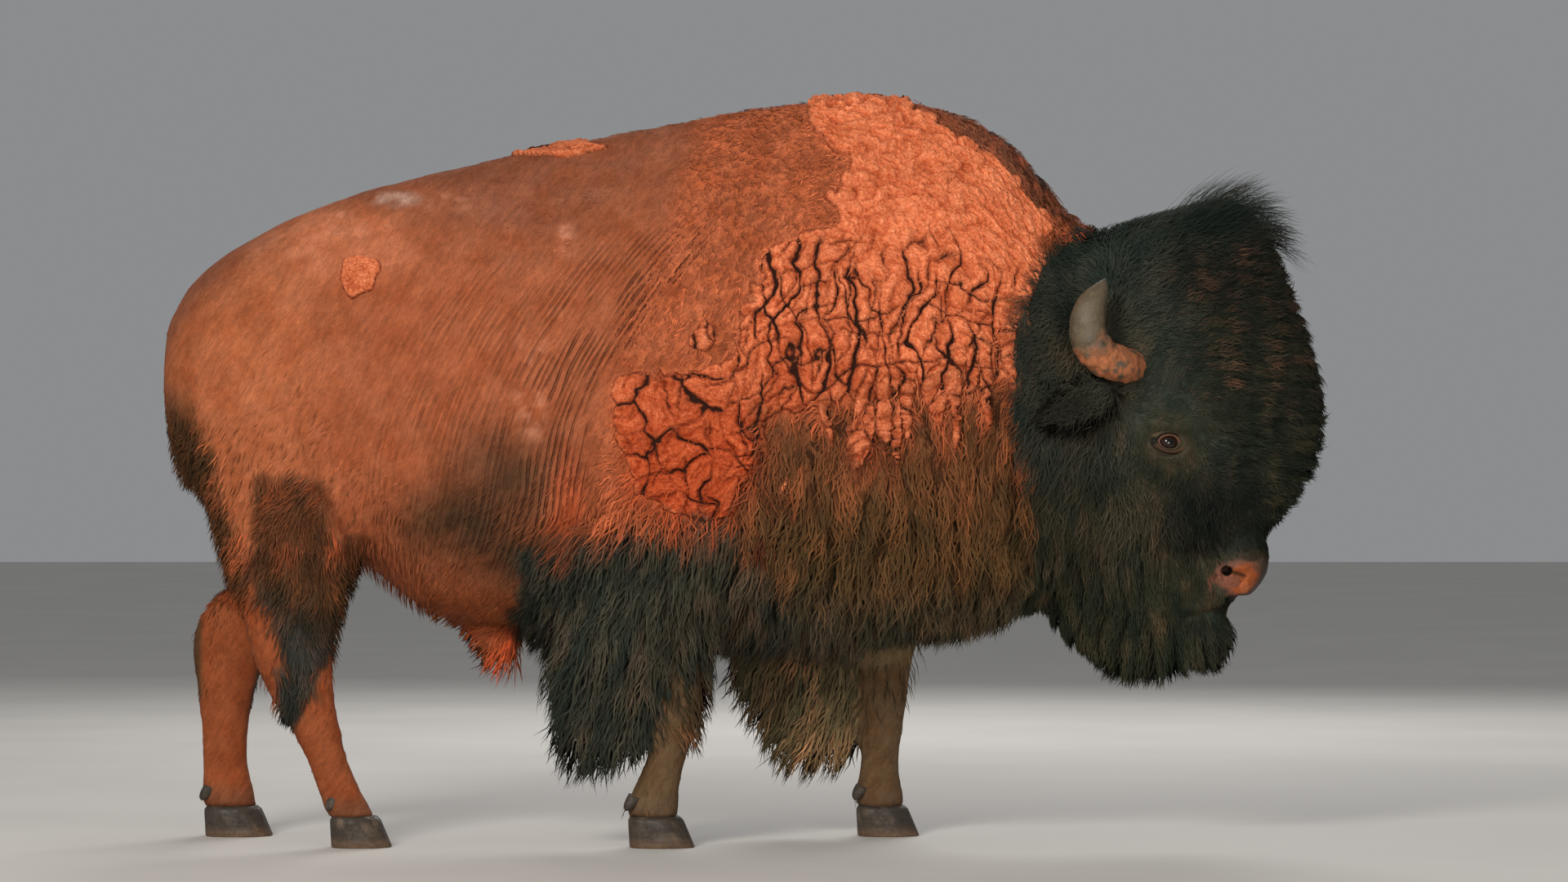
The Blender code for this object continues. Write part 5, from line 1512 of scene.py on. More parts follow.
def make_lids(name, sign, finish):
    """The lids as one ring round the eye. Angle runs round the opening and s from the rim on the ball out to
    the cheek: a round margin, a groove, a heavy fold above and two below, then a fall that sinks under the
    skin. Grooves and folds are bell curves of s."""
    centre = side_place(EYE, sign)
    forward, up, out = side_axes(sign)
    turn = around(132)[None, :]
    s = np.linspace(0, 1, 46)[:, None]
    c, w = np.cos(turn), np.sin(turn)
    above, below = smooth(-0.2, 0.4, w), smooth(0.2, -0.4, w)
    rim_x = 0.0215 * np.sign(c) * np.abs(c) ** 0.9
    rim_z = np.where(w > 0, 0.0155, 0.015) * w * (1 - 0.1 * np.abs(c)) - 0.0015 * np.abs(c) * c
    reach_x, reach_z = np.where(c > 0, 0.078, 0.064) * c, np.where(w > 0, 0.046, 0.04) * w - 0.008 * c
    x, z = mix(rim_x, reach_x, s), mix(rim_z, reach_z, s)

    def bell(middle, width):
        return np.exp(-(((s - middle) / width) ** 2))

    rim_out = np.sqrt(np.maximum(EYE_RADIUS**2 - rim_x**2 - rim_z**2, 0)) + 0.0004
    margin = 0.0034 * smooth(0.0, 0.05, s) * np.ones_like(c)
    folds = above * (0.0085 * bell(0.38, 0.13) - 0.0045 * bell(0.2, 0.05))
    folds = folds + below * (0.006 * bell(0.29, 0.09) - 0.0026 * bell(0.14, 0.035) - 0.006 * bell(0.5, 0.05))
    ahead = bell(0.66, 0.07) * smooth(0.2, 0.8, c)
    folds = folds - 0.005 * ahead
    folds = folds - 0.0034 * bell(0.34, 0.3) * smooth(-0.75, -0.98, c) * smooth(0.35, 0.1, np.abs(w - 0.15))
    crinkle = 0.0005 * np.sin(19 * turn + 26 * s) * smooth(0.15, 0.5, s)
    base = mix(rim_out, -0.003, smooth(0.2, 1.0, s))
    away = np.where(s < 0.001, rim_out - 0.003, base + margin + folds + crinkle)
    grid = centre + x[..., None] * forward + z[..., None] * up + away[..., None] * out
    points = grid.reshape(-1, 3)
    faces = grid_faces(len(s), turn.shape[1], True)
    if (crossed(points[faces]) @ out).mean() < 0:
        faces = faces[:, ::-1]
    colour = np.tile(np.array(LID_BROWN), (*x.shape, 1))
    for tint, share in (
        (LID_MARGIN, above * bell(0.07, 0.06)),
        # painted shade in the groove above the upper lid
        (LID_GROOVE_SHADE, above * bell(0.2, 0.045) * 0.9),
        (LID_SHADOW, ahead * 0.8),
        (LID_RIM, below * bell(0.045, 0.035) * smooth(0.95, 0.5, np.abs(c))),
        (LID_FOLD, below * bell(0.26, 0.12) * 0.9),
        # painted shade in the grooves below the lower lid
        (LID_GROOVE_SHADE, below * (0.6 * bell(0.14, 0.03) + 0.9 * bell(0.51, 0.055))),
        (LID_CORNER, bell(0.05, 0.06) * smooth(-0.72, -0.95, c)),
        (LID_DUSTY, bell(0.58, 0.16) * above * smooth(-0.2, -0.6, c) * smooth(-0.99, -0.88, c)),
        (LID_SHADOW, bell(0.4, 0.26) * smooth(-0.9, -0.99, c)),
        (LID_FRONT, bell(0.45, 0.16) * smooth(0.7, 0.95, c) * below),
        (TEMPLE, np.broadcast_to(smooth(0.7, 1.0, s), x.shape)),
    ):
        colour = mix(colour, tint, np.clip(share, 0, 1)[..., None])
    colour = colour * (1 + 0.12 * np.sin(31 * turn + 9 * s))[..., None]
    place = unwrapped(points, np.full(len(points), "crown"))
    mesh = mesh_of(name, points, faces, colour.reshape(-1, 3), place)
    add_piece(name, mesh, finish)


def make_horn(name, sign, finish):
    """A tapered tube on the horn's path. Growth rings and long ribs raise its surface, strongest near the base,
    and the tip is worn round. The coat's fourth number marks the clay rubbed into the base."""
    path = side_place(HORN_PATH, sign)
    rows, sides = 110, 56
    grid = tube(path, HORN_RADII, sides, rows)
    centre = grid.mean(1, keepdims=True)
    s = np.linspace(0, 1, rows)[:, None]
    flat = grid.reshape(-1, 3)
    rough = noise(flat, 0.016, 61).reshape(rows, sides)
    ring = np.sin(2 * math.pi * (s * 11 + 0.25 * rough)) * smooth(0.25, 0.45, s) * smooth(0.85, 0.6, s)
    turn = around(sides)[None, :]
    rib = np.sin(turn * 13 + 3 * rough) * smooth(1.0, 0.6, s)
    flake = noise(flat, 0.009, 67).reshape(rows, sides) + np.sin(2 * math.pi * (s * 16 + 0.5 * rough))
    lumps = (0.05 * rough + 0.022 * flake) * smooth(0.6, 0.46, s)
    swell = 1 + 0.012 * ring + 0.008 * rib + 0.02 * rough * smooth(0.95, 0.5, s) + lumps
    grid = centre + (grid - centre) * swell[..., None]
    points, faces = closed_shell(grid)
    along = np.append(np.repeat(s[:, 0], sides), (0, 1))
    grain = noise(points * (1, 1, 0.25), 0.006, 62)
    streaks = smooth(-0.2, 0.9, noise(points, 0.03, 63) + 0.4 * grain)
    colour = mix(HORN_GREY, HORN_DARK, streaks[:, None] * 0.5)
    colour = mix(colour, HORN_DARK, smooth(0.86, 0.99, along)[:, None] * 0.6)
    clay = smooth(0.58, 0.44, along + 0.07 * noise(points, 0.02, 64))
    clay = clay * smooth(-0.45, 0.05, noise(points, 0.016, 65) + 0.5 * noise(points, 0.006, 66) + 0.25)
    colour = mix(colour, CLAY, clay[:, None] * 0.85) * (1 + 0.12 * grain)[:, None]
    mesh = mesh_of(name, points, faces, np.column_stack([colour, clay]))
    add_piece(name, mesh, finish, [name.replace("_sheath", "")])


def make_ear(name, sign, finish):
    """A leaf folded about its length: its half width goes with sin(pi s^0.7), the front is hollowed, and it
    curls round its own axis. Returns its mesh, and its axis from base to tip."""
    base, tip = side_place(EAR_BASE, sign), side_place(EAR_TIP, sign)
    axis = unit(tip - base)
    front = unit(np.array((0.45, sign * 0.8, 0.35)))
    front = unit(front - axis * front.dot(axis))
    across = np.cross(axis, front)
    length = np.linalg.norm(tip - base) * 1.02
    s = np.linspace(0, 1, 40)[:, None]
    turn = around(40)[None, :]
    half = 0.038 * np.sin(math.pi * np.clip(s, 0.02, 0.985) ** 0.72) ** 0.8
    thick = 0.008 + 0.006 * (1 - s)
    wide = half * np.cos(turn)
    face = np.sin(turn)
    bowl = -0.55 * half * (1 - (wide / np.maximum(half, 1e-4)) ** 2) * smooth(0.05, 0.3, s)
    deep = bowl + thick * np.minimum(1, half / 0.02) * face
    grid = base + (s * length)[..., None] * axis + wide[..., None] * across + deep[..., None] * front
    points, faces = closed_shell(grid)
    colour = flooded(EAR_HAIR, len(points)) * (1 + 0.3 * noise(points, 0.01, 66))[:, None]
    place = unwrapped(points, np.full(len(points), "crown"))
    mesh = mesh_of(name, points, faces, colour, place)
    add_piece(name, mesh, finish, [name.replace("_leaf", "")])
    return mesh, axis


def make_ear_hair(name, mesh, axis, finish, rng):
    """Tufts on one ear, combed from base to tip."""
    points, normals, faces = points_of(mesh)
    area = np.linalg.norm(crossed(points[faces]), axis=1)
    corners = faces[rng.choice(len(faces), EAR_TUFTS, p=area / area.sum())]
    share = rng.dirichlet((1, 1, 1), EAR_TUFTS)[:, :, None]
    root, normal = (points[corners] * share).sum(1), unit((normals[corners] * share).sum(1))
    way = unit(axis - normal * (normal @ axis)[:, None] + 0.28 * rng.standard_normal((EAR_TUFTS, 3)))
    length = 0.044 + 0.04 * rng.random(EAR_TUFTS)
    width, lift = np.full(EAR_TUFTS, 0.0032), np.full(EAR_TUFTS, 0.55)
    built = spikes(root, normal, way, length, width, lift, 0.14, 0.6, 2, rng, 0.001)
    colour = flooded(EAR_HAIR, EAR_TUFTS) * (1 + 0.3 * noise(root, 0.02, 67))[:, None]
    tufts = tuft_mesh(name, built, root, np.full(EAR_TUFTS, "crown"), colour, COAT["hair_face"], rng)
    add_piece(name, tufts, finish)


HOOVES = {  # front, back, half width and centre of each pastern where its hoof begins
    "fore_right": (-0.148, -0.28, 0.055, -0.19),
    "fore_left": (0.398, 0.27, 0.055, 0.19),
    "hind_right": (-0.872, -0.992, 0.053, -0.185),
    "hind_left": (-1.192, -1.332, 0.054, 0.185),
}
HOOF_HEIGHT = 0.072


def claw(front, back, half, side, hand):
    """One claw of a cloven hoof. Its ring is a D, flat toward the cleft: forward goes with the cosine and
    outwards with the sine to the power 0.7. The rings lengthen toward the ground, and the toe turns in."""
    height = np.array((0.0, 0.0, 0.003, 0.012, 0.026, 0.042, 0.056, 0.066, 0.074))[:, None]
    drop = 1 - height / HOOF_HEIGHT
    turn = around(40)[None, :]
    toe = front + 0.03 * drop + 0.002
    heel = back + 0.004 + 0.004 * drop
    length, middle = (toe - heel) / 2, (toe + heel) / 2
    c, w = np.cos(turn), np.sin(turn)
    shrink = np.array((0.0, 0.97, 1.0, 1.0, 1.0, 1.0, 1.0, 0.99, 0.9))[:, None]
    forward = middle + length * shrink * np.sign(c) * np.abs(c) ** 0.86
    girth = (half + 0.006 * drop) * shrink * (1 - 0.28 * smooth(0.2, 1.0, c))
    outer = girth * np.maximum(w, 0) ** 0.7 - 0.004 * np.maximum(-w, 0) ** 0.5
    across = side + hand * (0.0046 + outer + 0.003 * smooth(0.3, 1.0, c) * drop)
    return np.stack([forward, across, np.broadcast_to(height, forward.shape)], -1)


def dewclaw(place, hand):
    """A small blunt cone behind the pastern, pointing down and back."""
    s = np.linspace(0, 1, 9)[:, None]
    turn = around(20)[None, :]
    girth = 0.016 * np.sqrt(np.maximum(1 - s**2.2, 0.0004))
    x = place[0] - 0.022 * s + girth * np.cos(turn)
    y = place[1] + hand * (0.006 * s) + girth * np.sin(turn) * 0.9
    z = place[2] - 0.034 * s - 0.3 * girth * np.cos(turn)
    return np.stack([x, y, z], -1)


def make_hoof(name, finish):
    """Two claws and two dewclaws, worn in places and muddy toward the ground."""
    front, back, half, side = HOOVES[name]
    shells = []
    for hand in (-1, 1):
        shells.append(closed_shell(claw(front, back, half, side, hand)))
        shells.append(closed_shell(dewclaw((back + 0.022, side + hand * 0.026, 0.122), hand)))
    points, faces = joined(shells)
    grain = noise(points * (1, 1, 0.3), 0.006, 71)
    colour = mix(HOOF, HOOF_WORN, smooth(0.2, 0.9, noise(points, 0.02, 72))[:, None])
    colour = mix(colour, HOOF_MUD, (smooth(0.03, 0.0, points[:, 2]) * 0.6)[:, None])
    colour = colour * (1 + 0.2 * grain)[:, None]
    add_piece("claws_" + name, mesh_of(name, points, faces, colour), finish, ["hoof_" + name])


# ---- finishes
class Wire:
    """A shader socket to do maths with: an expression on wires and numbers adds its Math nodes."""

    def __init__(self, finish, socket):
        self.finish = finish
        self.socket = socket

    def __add__(self, other):
        return self.finish.maths("ADD", self, other)

    def __sub__(self, other):
        return self.finish.maths("SUBTRACT", self, other)

    def __rsub__(self, other):
        return self.finish.maths("SUBTRACT", other, self)

    def __mul__(self, other):
        return self.finish.maths("MULTIPLY", self, other)

    __radd__ = __add__
    __rmul__ = __mul__


CREASE_SCALE = 2 * math.pi / 20 / 0.017  # the wave texture repeats every 2 pi / 20 over its scale


class Finish:
    """A material and the ways to wire it."""

    def __init__(self, name, **constants):
        self.material = bpy.data.materials.new(name)
        self.material.use_nodes = True
        self.nodes = self.material.node_tree.nodes
        self.shader = self.nodes["Principled BSDF"]
        for socket, value in constants.items():
            self.shader.inputs[socket.replace("_", " ")].default_value = value

    def node(self, kind, settings=None, values=None, output=0):
        """Adds a node of a kind, applies its settings, then fills or links its sockets."""
        made = self.nodes.new("ShaderNode" + kind)
        for key, value in (settings or {}).items():
            setattr(made, key, value)
        for socket, value in (values or {}).items():
            if isinstance(value, Wire):
                self.material.node_tree.links.new(value.socket, made.inputs[socket])
            else:
                made.inputs[socket].default_value = value
        return Wire(self, made.outputs[output])

    def maths(self, operation, *values):
        return self.node("Math", {"operation": operation}, dict(enumerate(values)))

    def attribute(self, name, output=0):
        return self.node("Attribute", {"attribute_name": name}, output=output)

    def places(self, lean=0.0, stretch=(1.0, 1.0, 1.0)):
        """Object coordinates in a frame leant about Y by some degrees and stretched along its own axes."""
        where = self.node("TexCoord", output="Object")
        values = {"Vector": where, "Rotation": (0.0, math.radians(lean), 0.0), "Scale": stretch}
        return self.node("Mapping", {"vector_type": "TEXTURE"}, values)

    def grain(self, where, scale, detail=2.0, roughness=0.5):
        """Soft noise from 0 to 1."""
        values = {"Vector": where, "Scale": scale, "Detail": detail, "Roughness": roughness}
        return self.node("TexNoise", {}, values)

    def span(self, value, low, high, to_low=0.0, to_high=1.0):
        """A value carried smoothly from one range to another."""
        values = {"Value": value, 1: low, 2: high, 3: to_low, 4: to_high}
        return self.node("MapRange", {"interpolation_type": "SMOOTHSTEP"}, values)

    def blend(self, a, b, factor):
        """Two colours mixed."""
        return self.node("Mix", {"data_type": "RGBA"}, {0: factor, 6: a, 7: b}, output=2)

    def dimmed(self, colour, value):
        """A colour times a number."""
        return self.node("VectorMath", {"operation": "SCALE"}, {0: colour, "Scale": value})

    def coat(self, value):
        """The colour that the mesh carries, times a number."""
        return self.dimmed(self.attribute("coat"), value)

    def tinted(self, colour, factor, low, high):
        """A colour times another, which runs from low to high as the factor goes from 0 to 1."""
        tint = self.blend((*low, 1.0), (*high, 1.0), factor)
        return self.node("VectorMath", {"operation": "MULTIPLY"}, {0: colour, 1: tint})

    def raise_by(self, height, distance, strength, normal=None):
        """A bump of that many metres from a height of 0 to 1."""
        values = {"Height": height, "Distance": distance, "Strength": strength}
        if normal is not None:
            values["Normal"] = normal
        return self.node("Bump", {}, values)

    def feed(self, **sockets):
        """Links wires to the shader's own sockets."""
        for socket, wire in sockets.items():
            self.material.node_tree.links.new(wire.socket, self.shader.inputs[socket.replace("_", " ")])
        return self.material


def hair_finish():
    """Tufts that look like many hairs: fine streaks run along each, and the gloss is low."""
    f = Finish("long_hair", Specular_IOR_Level=0.12)
    strand = f.attribute("strand", 1)
    streak = f.grain(strand, 2.6, 3.0, 0.6)
    colour = f.coat(f.span(streak, 0.3, 0.7, 0.78, 1.22))
    return f.feed(
        Base_Color=colour,
        Roughness=f.span(streak, 0.3, 0.7, 0.85, 0.62),
        Normal=f.raise_by(streak, 0.0015, 0.8),
    )


def skin_finish():
    """Short hair that lies flat, fine parallel creases on the ribs, curls on the shoulder, and wet pebbled
    leather where the nose is bare. Painted shade darkens the creases and the hollows between the curls."""
    f = Finish("short_hair", Specular_IOR_Level=0.15)
    where = f.places()
    marks = f.attribute("marks", 1)
    creased, leather, line = (f.node("SeparateXYZ", {}, {0: marks}, output=k) for k in range(3))
    rise = f.node("SeparateXYZ", {}, {0: where}, output=2) * 0.14
    along = f.node("CombineXYZ", {}, {0: line, 1: rise})
    bands = {"Vector": along, "Scale": CREASE_SCALE, "Distortion": 7.0, "Detail": 2.0, "Detail Scale": 1.3}
    wave = f.node("TexWave", {"bands_direction": "X"}, bands, output=1)
    stretches = f.grain(f.places(20.0, (1.0, 1.0, 2.5)), 16.0, 2.0)
    faded = creased * f.span(stretches, 0.38, 0.6, 0.15, 1.0)
    crease = f.span(wave, 0.02, 0.5, 1.0, 0.0) * faded
    fur = f.grain(f.places(35.0, (1.0, 2.0, 5.0)), 420.0, 3.0, 0.6)
    clumps = f.grain(f.places(30.0, (1.0, 2.0, 4.0)), 90.0, 3.0, 0.55)
    dusty = f.grain(where, 14.0, 4.0, 0.6)
    pebbles = {"Vector": where, "Scale": 330.0, "Smoothness": 0.3}
    pebble = f.node("TexVoronoi", {"feature": "SMOOTH_F1"}, pebbles)
    curls = f.attribute("coat", 3)
    curl = f.grain(f.places(20.0, (1.0, 1.0, 1.6)), 62.0, 2.0, 0.55)
    shade = f.span(fur, 0.25, 0.75, 0.8, 1.2) * f.span(clumps, 0.25, 0.75, 0.84, 1.16)
    # painted shade in the hollows between the curls
    shade = shade * (1.0 - curls * f.span(curl, 0.56, 0.36, 0.0, 0.34))
    dust = f.span(dusty, 0.25, 0.75)
    dusted = f.tinted(f.attribute("coat"), dust, (0.88, 0.8, 0.7), (1.12, 1.24, 1.38))
    # painted shade in the rib creases
    shade = shade * (1.0 - crease * 0.42)
    height = (fur * 0.35 + clumps * 0.65) * (1.0 - leather) + (1.0 - pebble) * leather * 0.45
    bump = f.raise_by(height, 0.0035, 0.8)
    bump = f.raise_by(1.0 - crease, 0.0085, 0.9, bump)
    bump = f.raise_by(f.span(curl, 0.34, 0.66) * curls, 0.01, 0.8, bump)
    return f.feed(
        Base_Color=f.dimmed(dusted, shade),
        Roughness=f.span(leather, 0.0, 1.0, 0.78, 0.48),
        Normal=bump,
    )


def mat_finish():
    """Felted wool: a crumbly surface at three sizes and matt. Painted light and shade follow the crumbs,
    lighter and paler on their tops and darker and redder in their hollows, and painted shade darkens the
    cracks, where the coat's fourth number is under a half, and their edges."""
    f = Finish("matted_wool", Specular_IOR_Level=0.1, Roughness=0.9)
    where = f.places()
    fibre = f.grain(f.places(0.0, (3.0, 1.0, 1.0)), 480.0, 3.0, 0.65)
    crumb = f.grain(where, 160.0, 4.0, 0.65)
    tuft = f.grain(where, 60.0, 3.0, 0.55)
    bump = f.raise_by(crumb * 0.7 + fibre * 0.3, 0.006, 0.9)
    clear = f.attribute("coat", 3) + (crumb - 0.5) * 0.22
    # painted light and shade: lighter and paler on the crumbs' raised tops, darker and redder in their hollows,
    # dimmer toward the cracks
    crumb_light = f.span(crumb, 0.28, 0.72)
    worn = f.tinted(f.attribute("coat"), crumb_light, (0.74, 0.56, 0.42), (1.16, 1.34, 1.55))
    wool = f.dimmed(worn, f.span(fibre, 0.25, 0.75, 0.8, 1.2) * f.span(clear, 0.48, 0.76, 0.7, 1.0))
    # painted shade: near black in the cracks
    colour = f.blend((*FISSURE_SHADE, 1.0), wool, f.span(clear, 0.4, 0.52))
    return f.feed(Base_Color=colour, Normal=f.raise_by(tuft, 0.012, 0.7, bump))


def lid_finish():
    """Damp dark skin round the eye with fine folds."""
    f = Finish("eyelid_skin", Specular_IOR_Level=0.25, Roughness=0.6)
    where = f.places()
    fold = f.grain(f.places(0.0, (2.5, 1.0, 1.0)), 420.0, 4.0, 0.6)
    shade = f.span(fold, 0.25, 0.75, 0.75, 1.25)
    bump = f.raise_by(fold + f.grain(where, 900.0) * 0.4, 0.0012, 0.9)
    return f.feed(Base_Color=f.coat(shade), Normal=bump)


def eye_finish():
    """A wet dark eye under a clear cornea."""
    f = Finish("wet_eye", Roughness=0.16, Coat_Weight=0.4, Coat_Roughness=0.06, Specular_IOR_Level=0.2)
    haze = f.grain(f.places(), 300.0, 3.0)
    return f.feed(Base_Color=f.coat(f.span(haze, 0.3, 0.7, 0.85, 1.15)))


def horn_finish():
    """Horn with long fibres, scratches and a dull smear of clay."""
    f = Finish("horn_sheath", Specular_IOR_Level=0.45)
    clay = f.attribute("coat", 3)
    where = f.places()
    fibre = f.grain(f.places(15.0, (1.0, 1.0, 8.0)), 520.0, 4.0, 0.6)
    scuff = f.grain(where, 90.0, 5.0, 0.65)
    shade = f.span(fibre, 0.25, 0.75, 0.74, 1.26) * f.span(scuff, 0.3, 0.7, 0.8, 1.18)
    rough = f.span(scuff, 0.3, 0.7, 0.36, 0.58) + clay * 0.3
    bump = f.raise_by(fibre * 0.6 + scuff * 0.4, 0.0022, 0.9)
    return f.feed(Base_Color=f.coat(shade), Roughness=rough, Normal=bump)


def hoof_finish():
    """Dull hoof horn with upright fibres, bands and dried mud."""
    f = Finish("hoof_horn", Specular_IOR_Level=0.35)
    fibre = f.grain(f.places(0.0, (1.0, 1.0, 7.0)), 500.0, 3.0, 0.6)
    band = f.grain(f.places(0.0, (7.0, 7.0, 1.0)), 120.0, 3.0, 0.5)
    mud = f.grain(f.places(), 60.0, 5.0, 0.65)
    shade = f.span(fibre, 0.25, 0.75, 0.75, 1.25) * f.span(band, 0.3, 0.7, 0.82, 1.16)
    rough = f.span(mud, 0.35, 0.65, 0.45, 0.85)
    bump = f.raise_by(fibre * 0.4 + band * 0.6, 0.002, 0.9)
    return f.feed(Base_Color=f.coat(shade), Roughness=rough, Normal=bump)


def floor_finish():
    """A plain pale floor."""
    f = Finish("pale_floor", Specular_IOR_Level=0.2)
    cloud = f.grain(f.places(), 1.3, 3.0)
    shade = f.span(cloud, 0.3, 0.7, 0.97, 1.03)
    rough = f.span(cloud, 0.3, 0.7, 0.75, 0.85)
    return f.feed(Base_Color=f.dimmed(FLOOR_GREY, shade), Roughness=rough)


FINISHES = {
    "hair": hair_finish,
    "skin": skin_finish,
    "mat": mat_finish,
    "lid": lid_finish,
    "eye": eye_finish,
    "horn": horn_finish,
    "hoof": hoof_finish,
    "floor": floor_finish,
}
MADE = {}


def finish_of(name):
    """The finish of that name, made the first time it is asked for."""
    if name not in MADE:
        MADE[name] = FINISHES[name]()
    return MADE[name]


# ---- the stage
CAMERA_PLACE = (0.097, -13.0, 0.97)
CAMERA_LENS = 123.1
CAMERA_SENSOR = 36.0


def area_light(name, place, target, size, power, colour):
    """A large soft lamp at a place, aimed at a target."""
    lamp = bpy.data.lights.new(name, "AREA")
    lamp.shape = "RECTANGLE"
    lamp.size, lamp.size_y = size
    lamp.energy = power
    lamp.color = colour
    made = linked(name, lamp)
    made.location = place
    made.rotation_euler = (Vector(target) - Vector(place)).to_track_quat("-Z", "Y").to_euler()


def make_stage(power, floor_size):
    """Floor, soft lamps, pale surroundings and the camera."""
    half = floor_size / 2
    corners = [(-half, -half, 0.0), (half, -half, 0.0), (half, half, 0.0), (-half, half, 0.0)]
    mesh = bpy.data.meshes.new("floor")
    mesh.from_pydata(corners, [], [(0, 1, 2, 3)])
    mesh.materials.append(finish_of("floor"))
    floor = linked("floor", mesh)
    area_light("key", (-3.0, -7.4, 4.4), (0.0, 0.0, 0.9), (2.4, 2.4), power, (1.0, 0.95, 0.88))
    area_light("fill", (2.4, -8.0, 0.9), (0.2, 0.0, 0.6), (3.0, 1.4), power * 0.34, (1.0, 0.97, 0.93))
    area_light("rear", (1.0, 6.0, 4.5), (0.0, 0.0, 1.0), (4.0, 3.0), power * 0.42, (1.0, 0.98, 0.96))
    bpy.context.scene.view_settings.view_transform = "Standard"
    world = bpy.data.worlds.new("room")
    world.use_nodes = True
    sky = world.node_tree.nodes["Background"].inputs
    sky["Color"].default_value = (0.86, 0.88, 0.9, 1.0)
    sky["Strength"].default_value = 0.3
    bpy.context.scene.world = world
    lens = bpy.data.cameras.new("camera")
    lens.lens = CAMERA_LENS
    lens.sensor_width = CAMERA_SENSOR
    lens.clip_end = 100.0
    camera = linked("camera", lens)
    camera.location = CAMERA_PLACE
    camera.rotation_euler = (math.radians(90), 0.0, 0.0)
    bpy.context.scene.camera = camera


# ---- the add-on
def settings():
    """Everything a user may change, in this scene."""
    return bpy.context.scene.bison


class BisonCoat(bpy.types.PropertyGroup):
    """Sizes of the skin and the hair."""

    voxel: bpy.props.FloatProperty(
        name="Skin grain", description="Size of the skin's mesh", default=SKIN_VOXEL, min=0.008, unit="LENGTH"
    )
    mat_grain: bpy.props.FloatProperty(
        name="Mat grain", description="Size of the cape's mesh", default=0.0033, min=0.002, unit="LENGTH"
    )
    hair_length: bpy.props.FloatProperty(
        name="Hair length", description="Length of hair against its own", default=1.0, min=0.2, subtype="FACTOR"
    )


class BisonStage(bpy.types.PropertyGroup):
    """Floor and light."""

    power: bpy.props.FloatProperty(
        name="Key power", description="Power of the key lamp", default=530.0, unit="POWER"
    )
    floor_size: bpy.props.FloatProperty(
        name="Floor size", description="Side of the square floor", default=60.0, unit="LENGTH"
    )


class BisonSettings(bpy.types.PropertyGroup):
    """Everything a user may change."""

    coat: bpy.props.PointerProperty(type=BisonCoat, name="Coat", description="Skin and hair")
    stage: bpy.props.PointerProperty(type=BisonStage, name="Stage", description="Floor and light")


class BISON_OT_stage(bpy.types.Operator):
    """Make the floor, the lamps and the camera"""

    bl_idname = "bison.stage"
    bl_label = "Stage"

    def execute(self, context):
        make_stage(settings().stage.power, settings().stage.floor_size)
        return {"FINISHED"}


class BISON_OT_skin(bpy.types.Operator):
    """Make the skin that lies under the coat"""

    bl_idname = "bison.skin"
    bl_label = "Skin"

    def execute(self, context):
        make_skin(finish_of("skin"), settings().coat.voxel)
        return {"FINISHED"}


class BISON_OT_hair(bpy.types.Operator):
    """Grow the hair and wool, region by region"""

    bl_idname = "bison.hair"
    bl_label = "Hair"

    def execute(self, context):
        weights = regions()
        for number, (name, fleece) in enumerate(COAT.items()):
            rng = np.random.default_rng(SEED + number)
            longer = fleece._replace(long=fleece.long * settings().coat.hair_length)
            mesh = hair_mesh(name, longer, weights[name], rng)
            add_piece(name, mesh, finish_of("hair"))
        return {"FINISHED"}


class BISON_OT_cape(bpy.types.Operator):
    """Lay the matted wool over the shoulders"""

    bl_idname = "bison.cape"
    bl_label = "Cape"

    def execute(self, context):
        skin = bpy.data.objects["skin"]
        grain = settings().coat.mat_grain
        for span, place in (((-0.33, 0.79), "mat"), ((-1.0, -0.3), "shreds")):
            make_mat(place + "_right", -1, span, grain, finish_of("mat"), skin, 300)
            make_mat(place + "_left", 1, span, grain * 1.4, finish_of("mat"), skin, 700)
        return {"FINISHED"}


class BISON_OT_eyes(bpy.types.Operator):
    """Make the eyes and their lids"""

    bl_idname = "bison.eyes"
    bl_label = "Eyes"

    def execute(self, context):
        for side, sign in SIDES:
            make_eye("eyeball_" + side, sign, finish_of("eye"))
            make_lids("lids_" + side, sign, finish_of("lid"))
        return {"FINISHED"}


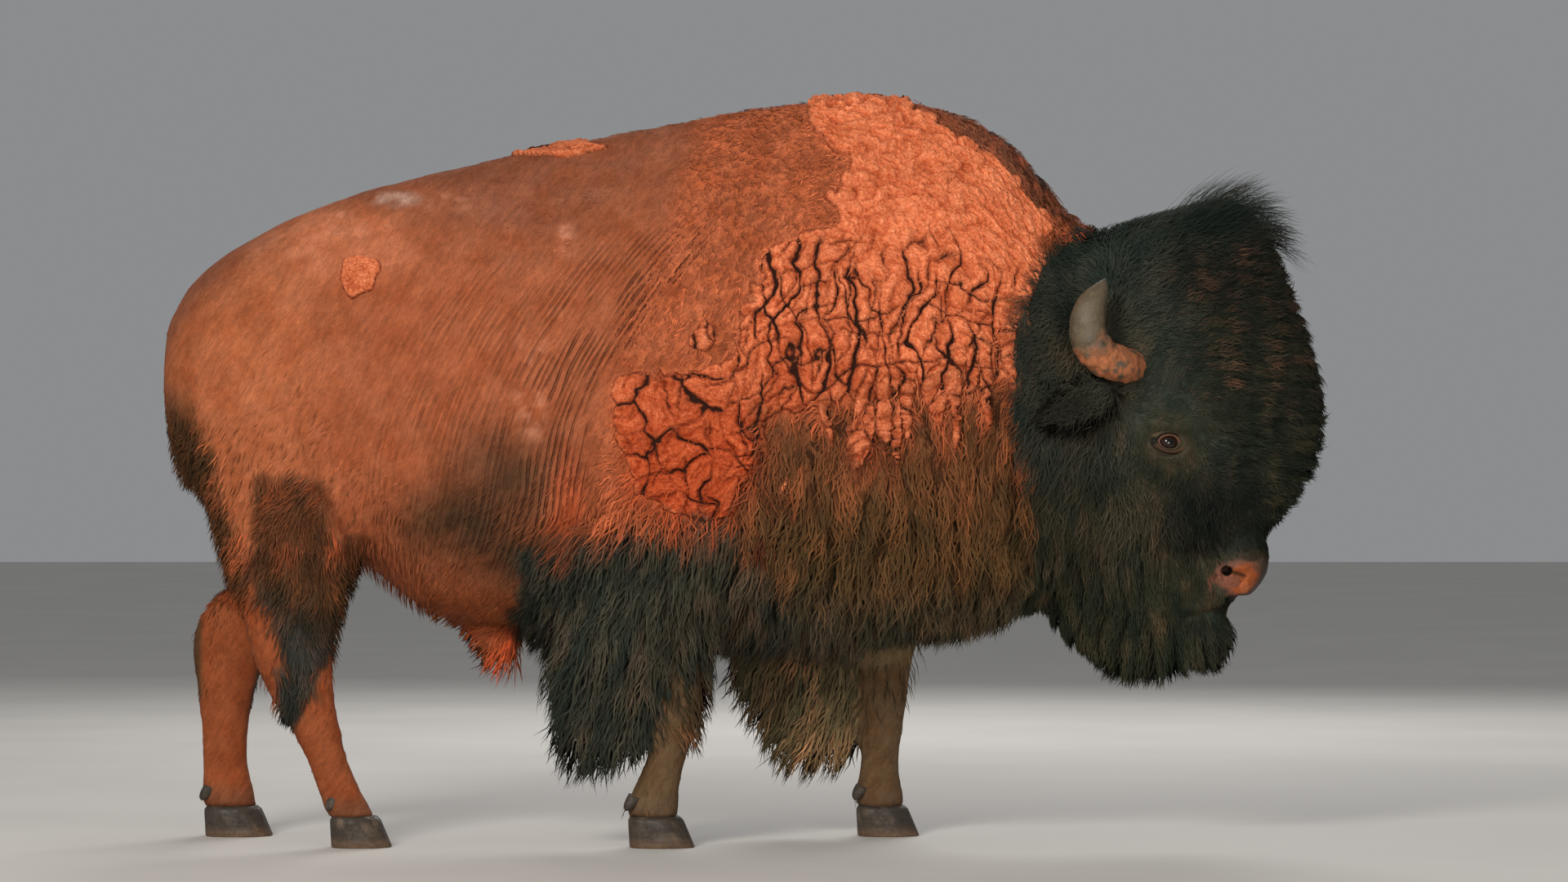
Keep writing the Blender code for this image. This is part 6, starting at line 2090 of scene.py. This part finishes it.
class BISON_OT_horns(bpy.types.Operator):
    """Make the horns"""

    bl_idname = "bison.horns"
    bl_label = "Horns"

    def execute(self, context):
        for side, sign in SIDES:
            make_horn("horn_sheath_" + side, sign, finish_of("horn"))
        return {"FINISHED"}


class BISON_OT_ears(bpy.types.Operator):
    """Make the ears and their hair"""

    bl_idname = "bison.ears"
    bl_label = "Ears"

    def execute(self, context):
        for number, (side, sign) in enumerate(SIDES):
            mesh, axis = make_ear("ear_leaf_" + side, sign, finish_of("lid"))
            rng = np.random.default_rng(SEED + 50 + number)
            make_ear_hair("hair_ear_" + side, mesh, axis, finish_of("hair"), rng)
        return {"FINISHED"}


class BISON_OT_hooves(bpy.types.Operator):
    """Make the hooves and dewclaws"""

    bl_idname = "bison.hooves"
    bl_label = "Hooves"

    def execute(self, context):
        for name in HOOVES:
            make_hoof(name, finish_of("hoof"))
        return {"FINISHED"}


STEPS = (
    BISON_OT_stage,
    BISON_OT_skin,
    BISON_OT_cape,
    BISON_OT_hair,
    BISON_OT_eyes,
    BISON_OT_horns,
    BISON_OT_ears,
    BISON_OT_hooves,
)


class BISON_PT_panel(bpy.types.Panel):
    """Lists the bison's sizes and steps"""

    bl_idname = "BISON_PT_panel"
    bl_label = "Bison"
    bl_space_type = "VIEW_3D"
    bl_region_type = "UI"
    bl_category = "Bison"

    def draw(self, context):
        column = self.layout.column()
        for group in (settings().coat, settings().stage):
            for name in group.__annotations__:
                column.prop(group, name)
        for step in STEPS:
            column.operator(step.bl_idname)


CLASSES = (BisonCoat, BisonStage, BisonSettings, *STEPS, BISON_PT_panel)


def register():
    for cls in CLASSES:
        bpy.utils.register_class(cls)
    bpy.types.Scene.bison = bpy.props.PointerProperty(type=BisonSettings, name="Bison", description="The bison")


def unregister():
    del bpy.types.Scene.bison
    for cls in reversed(CLASSES):
        bpy.utils.unregister_class(cls)


def main():
    register()
    for step in STEPS:
        group, name = step.bl_idname.split(".")
        getattr(getattr(bpy.ops, group), name)()


if __name__ == "__main__":
    main()
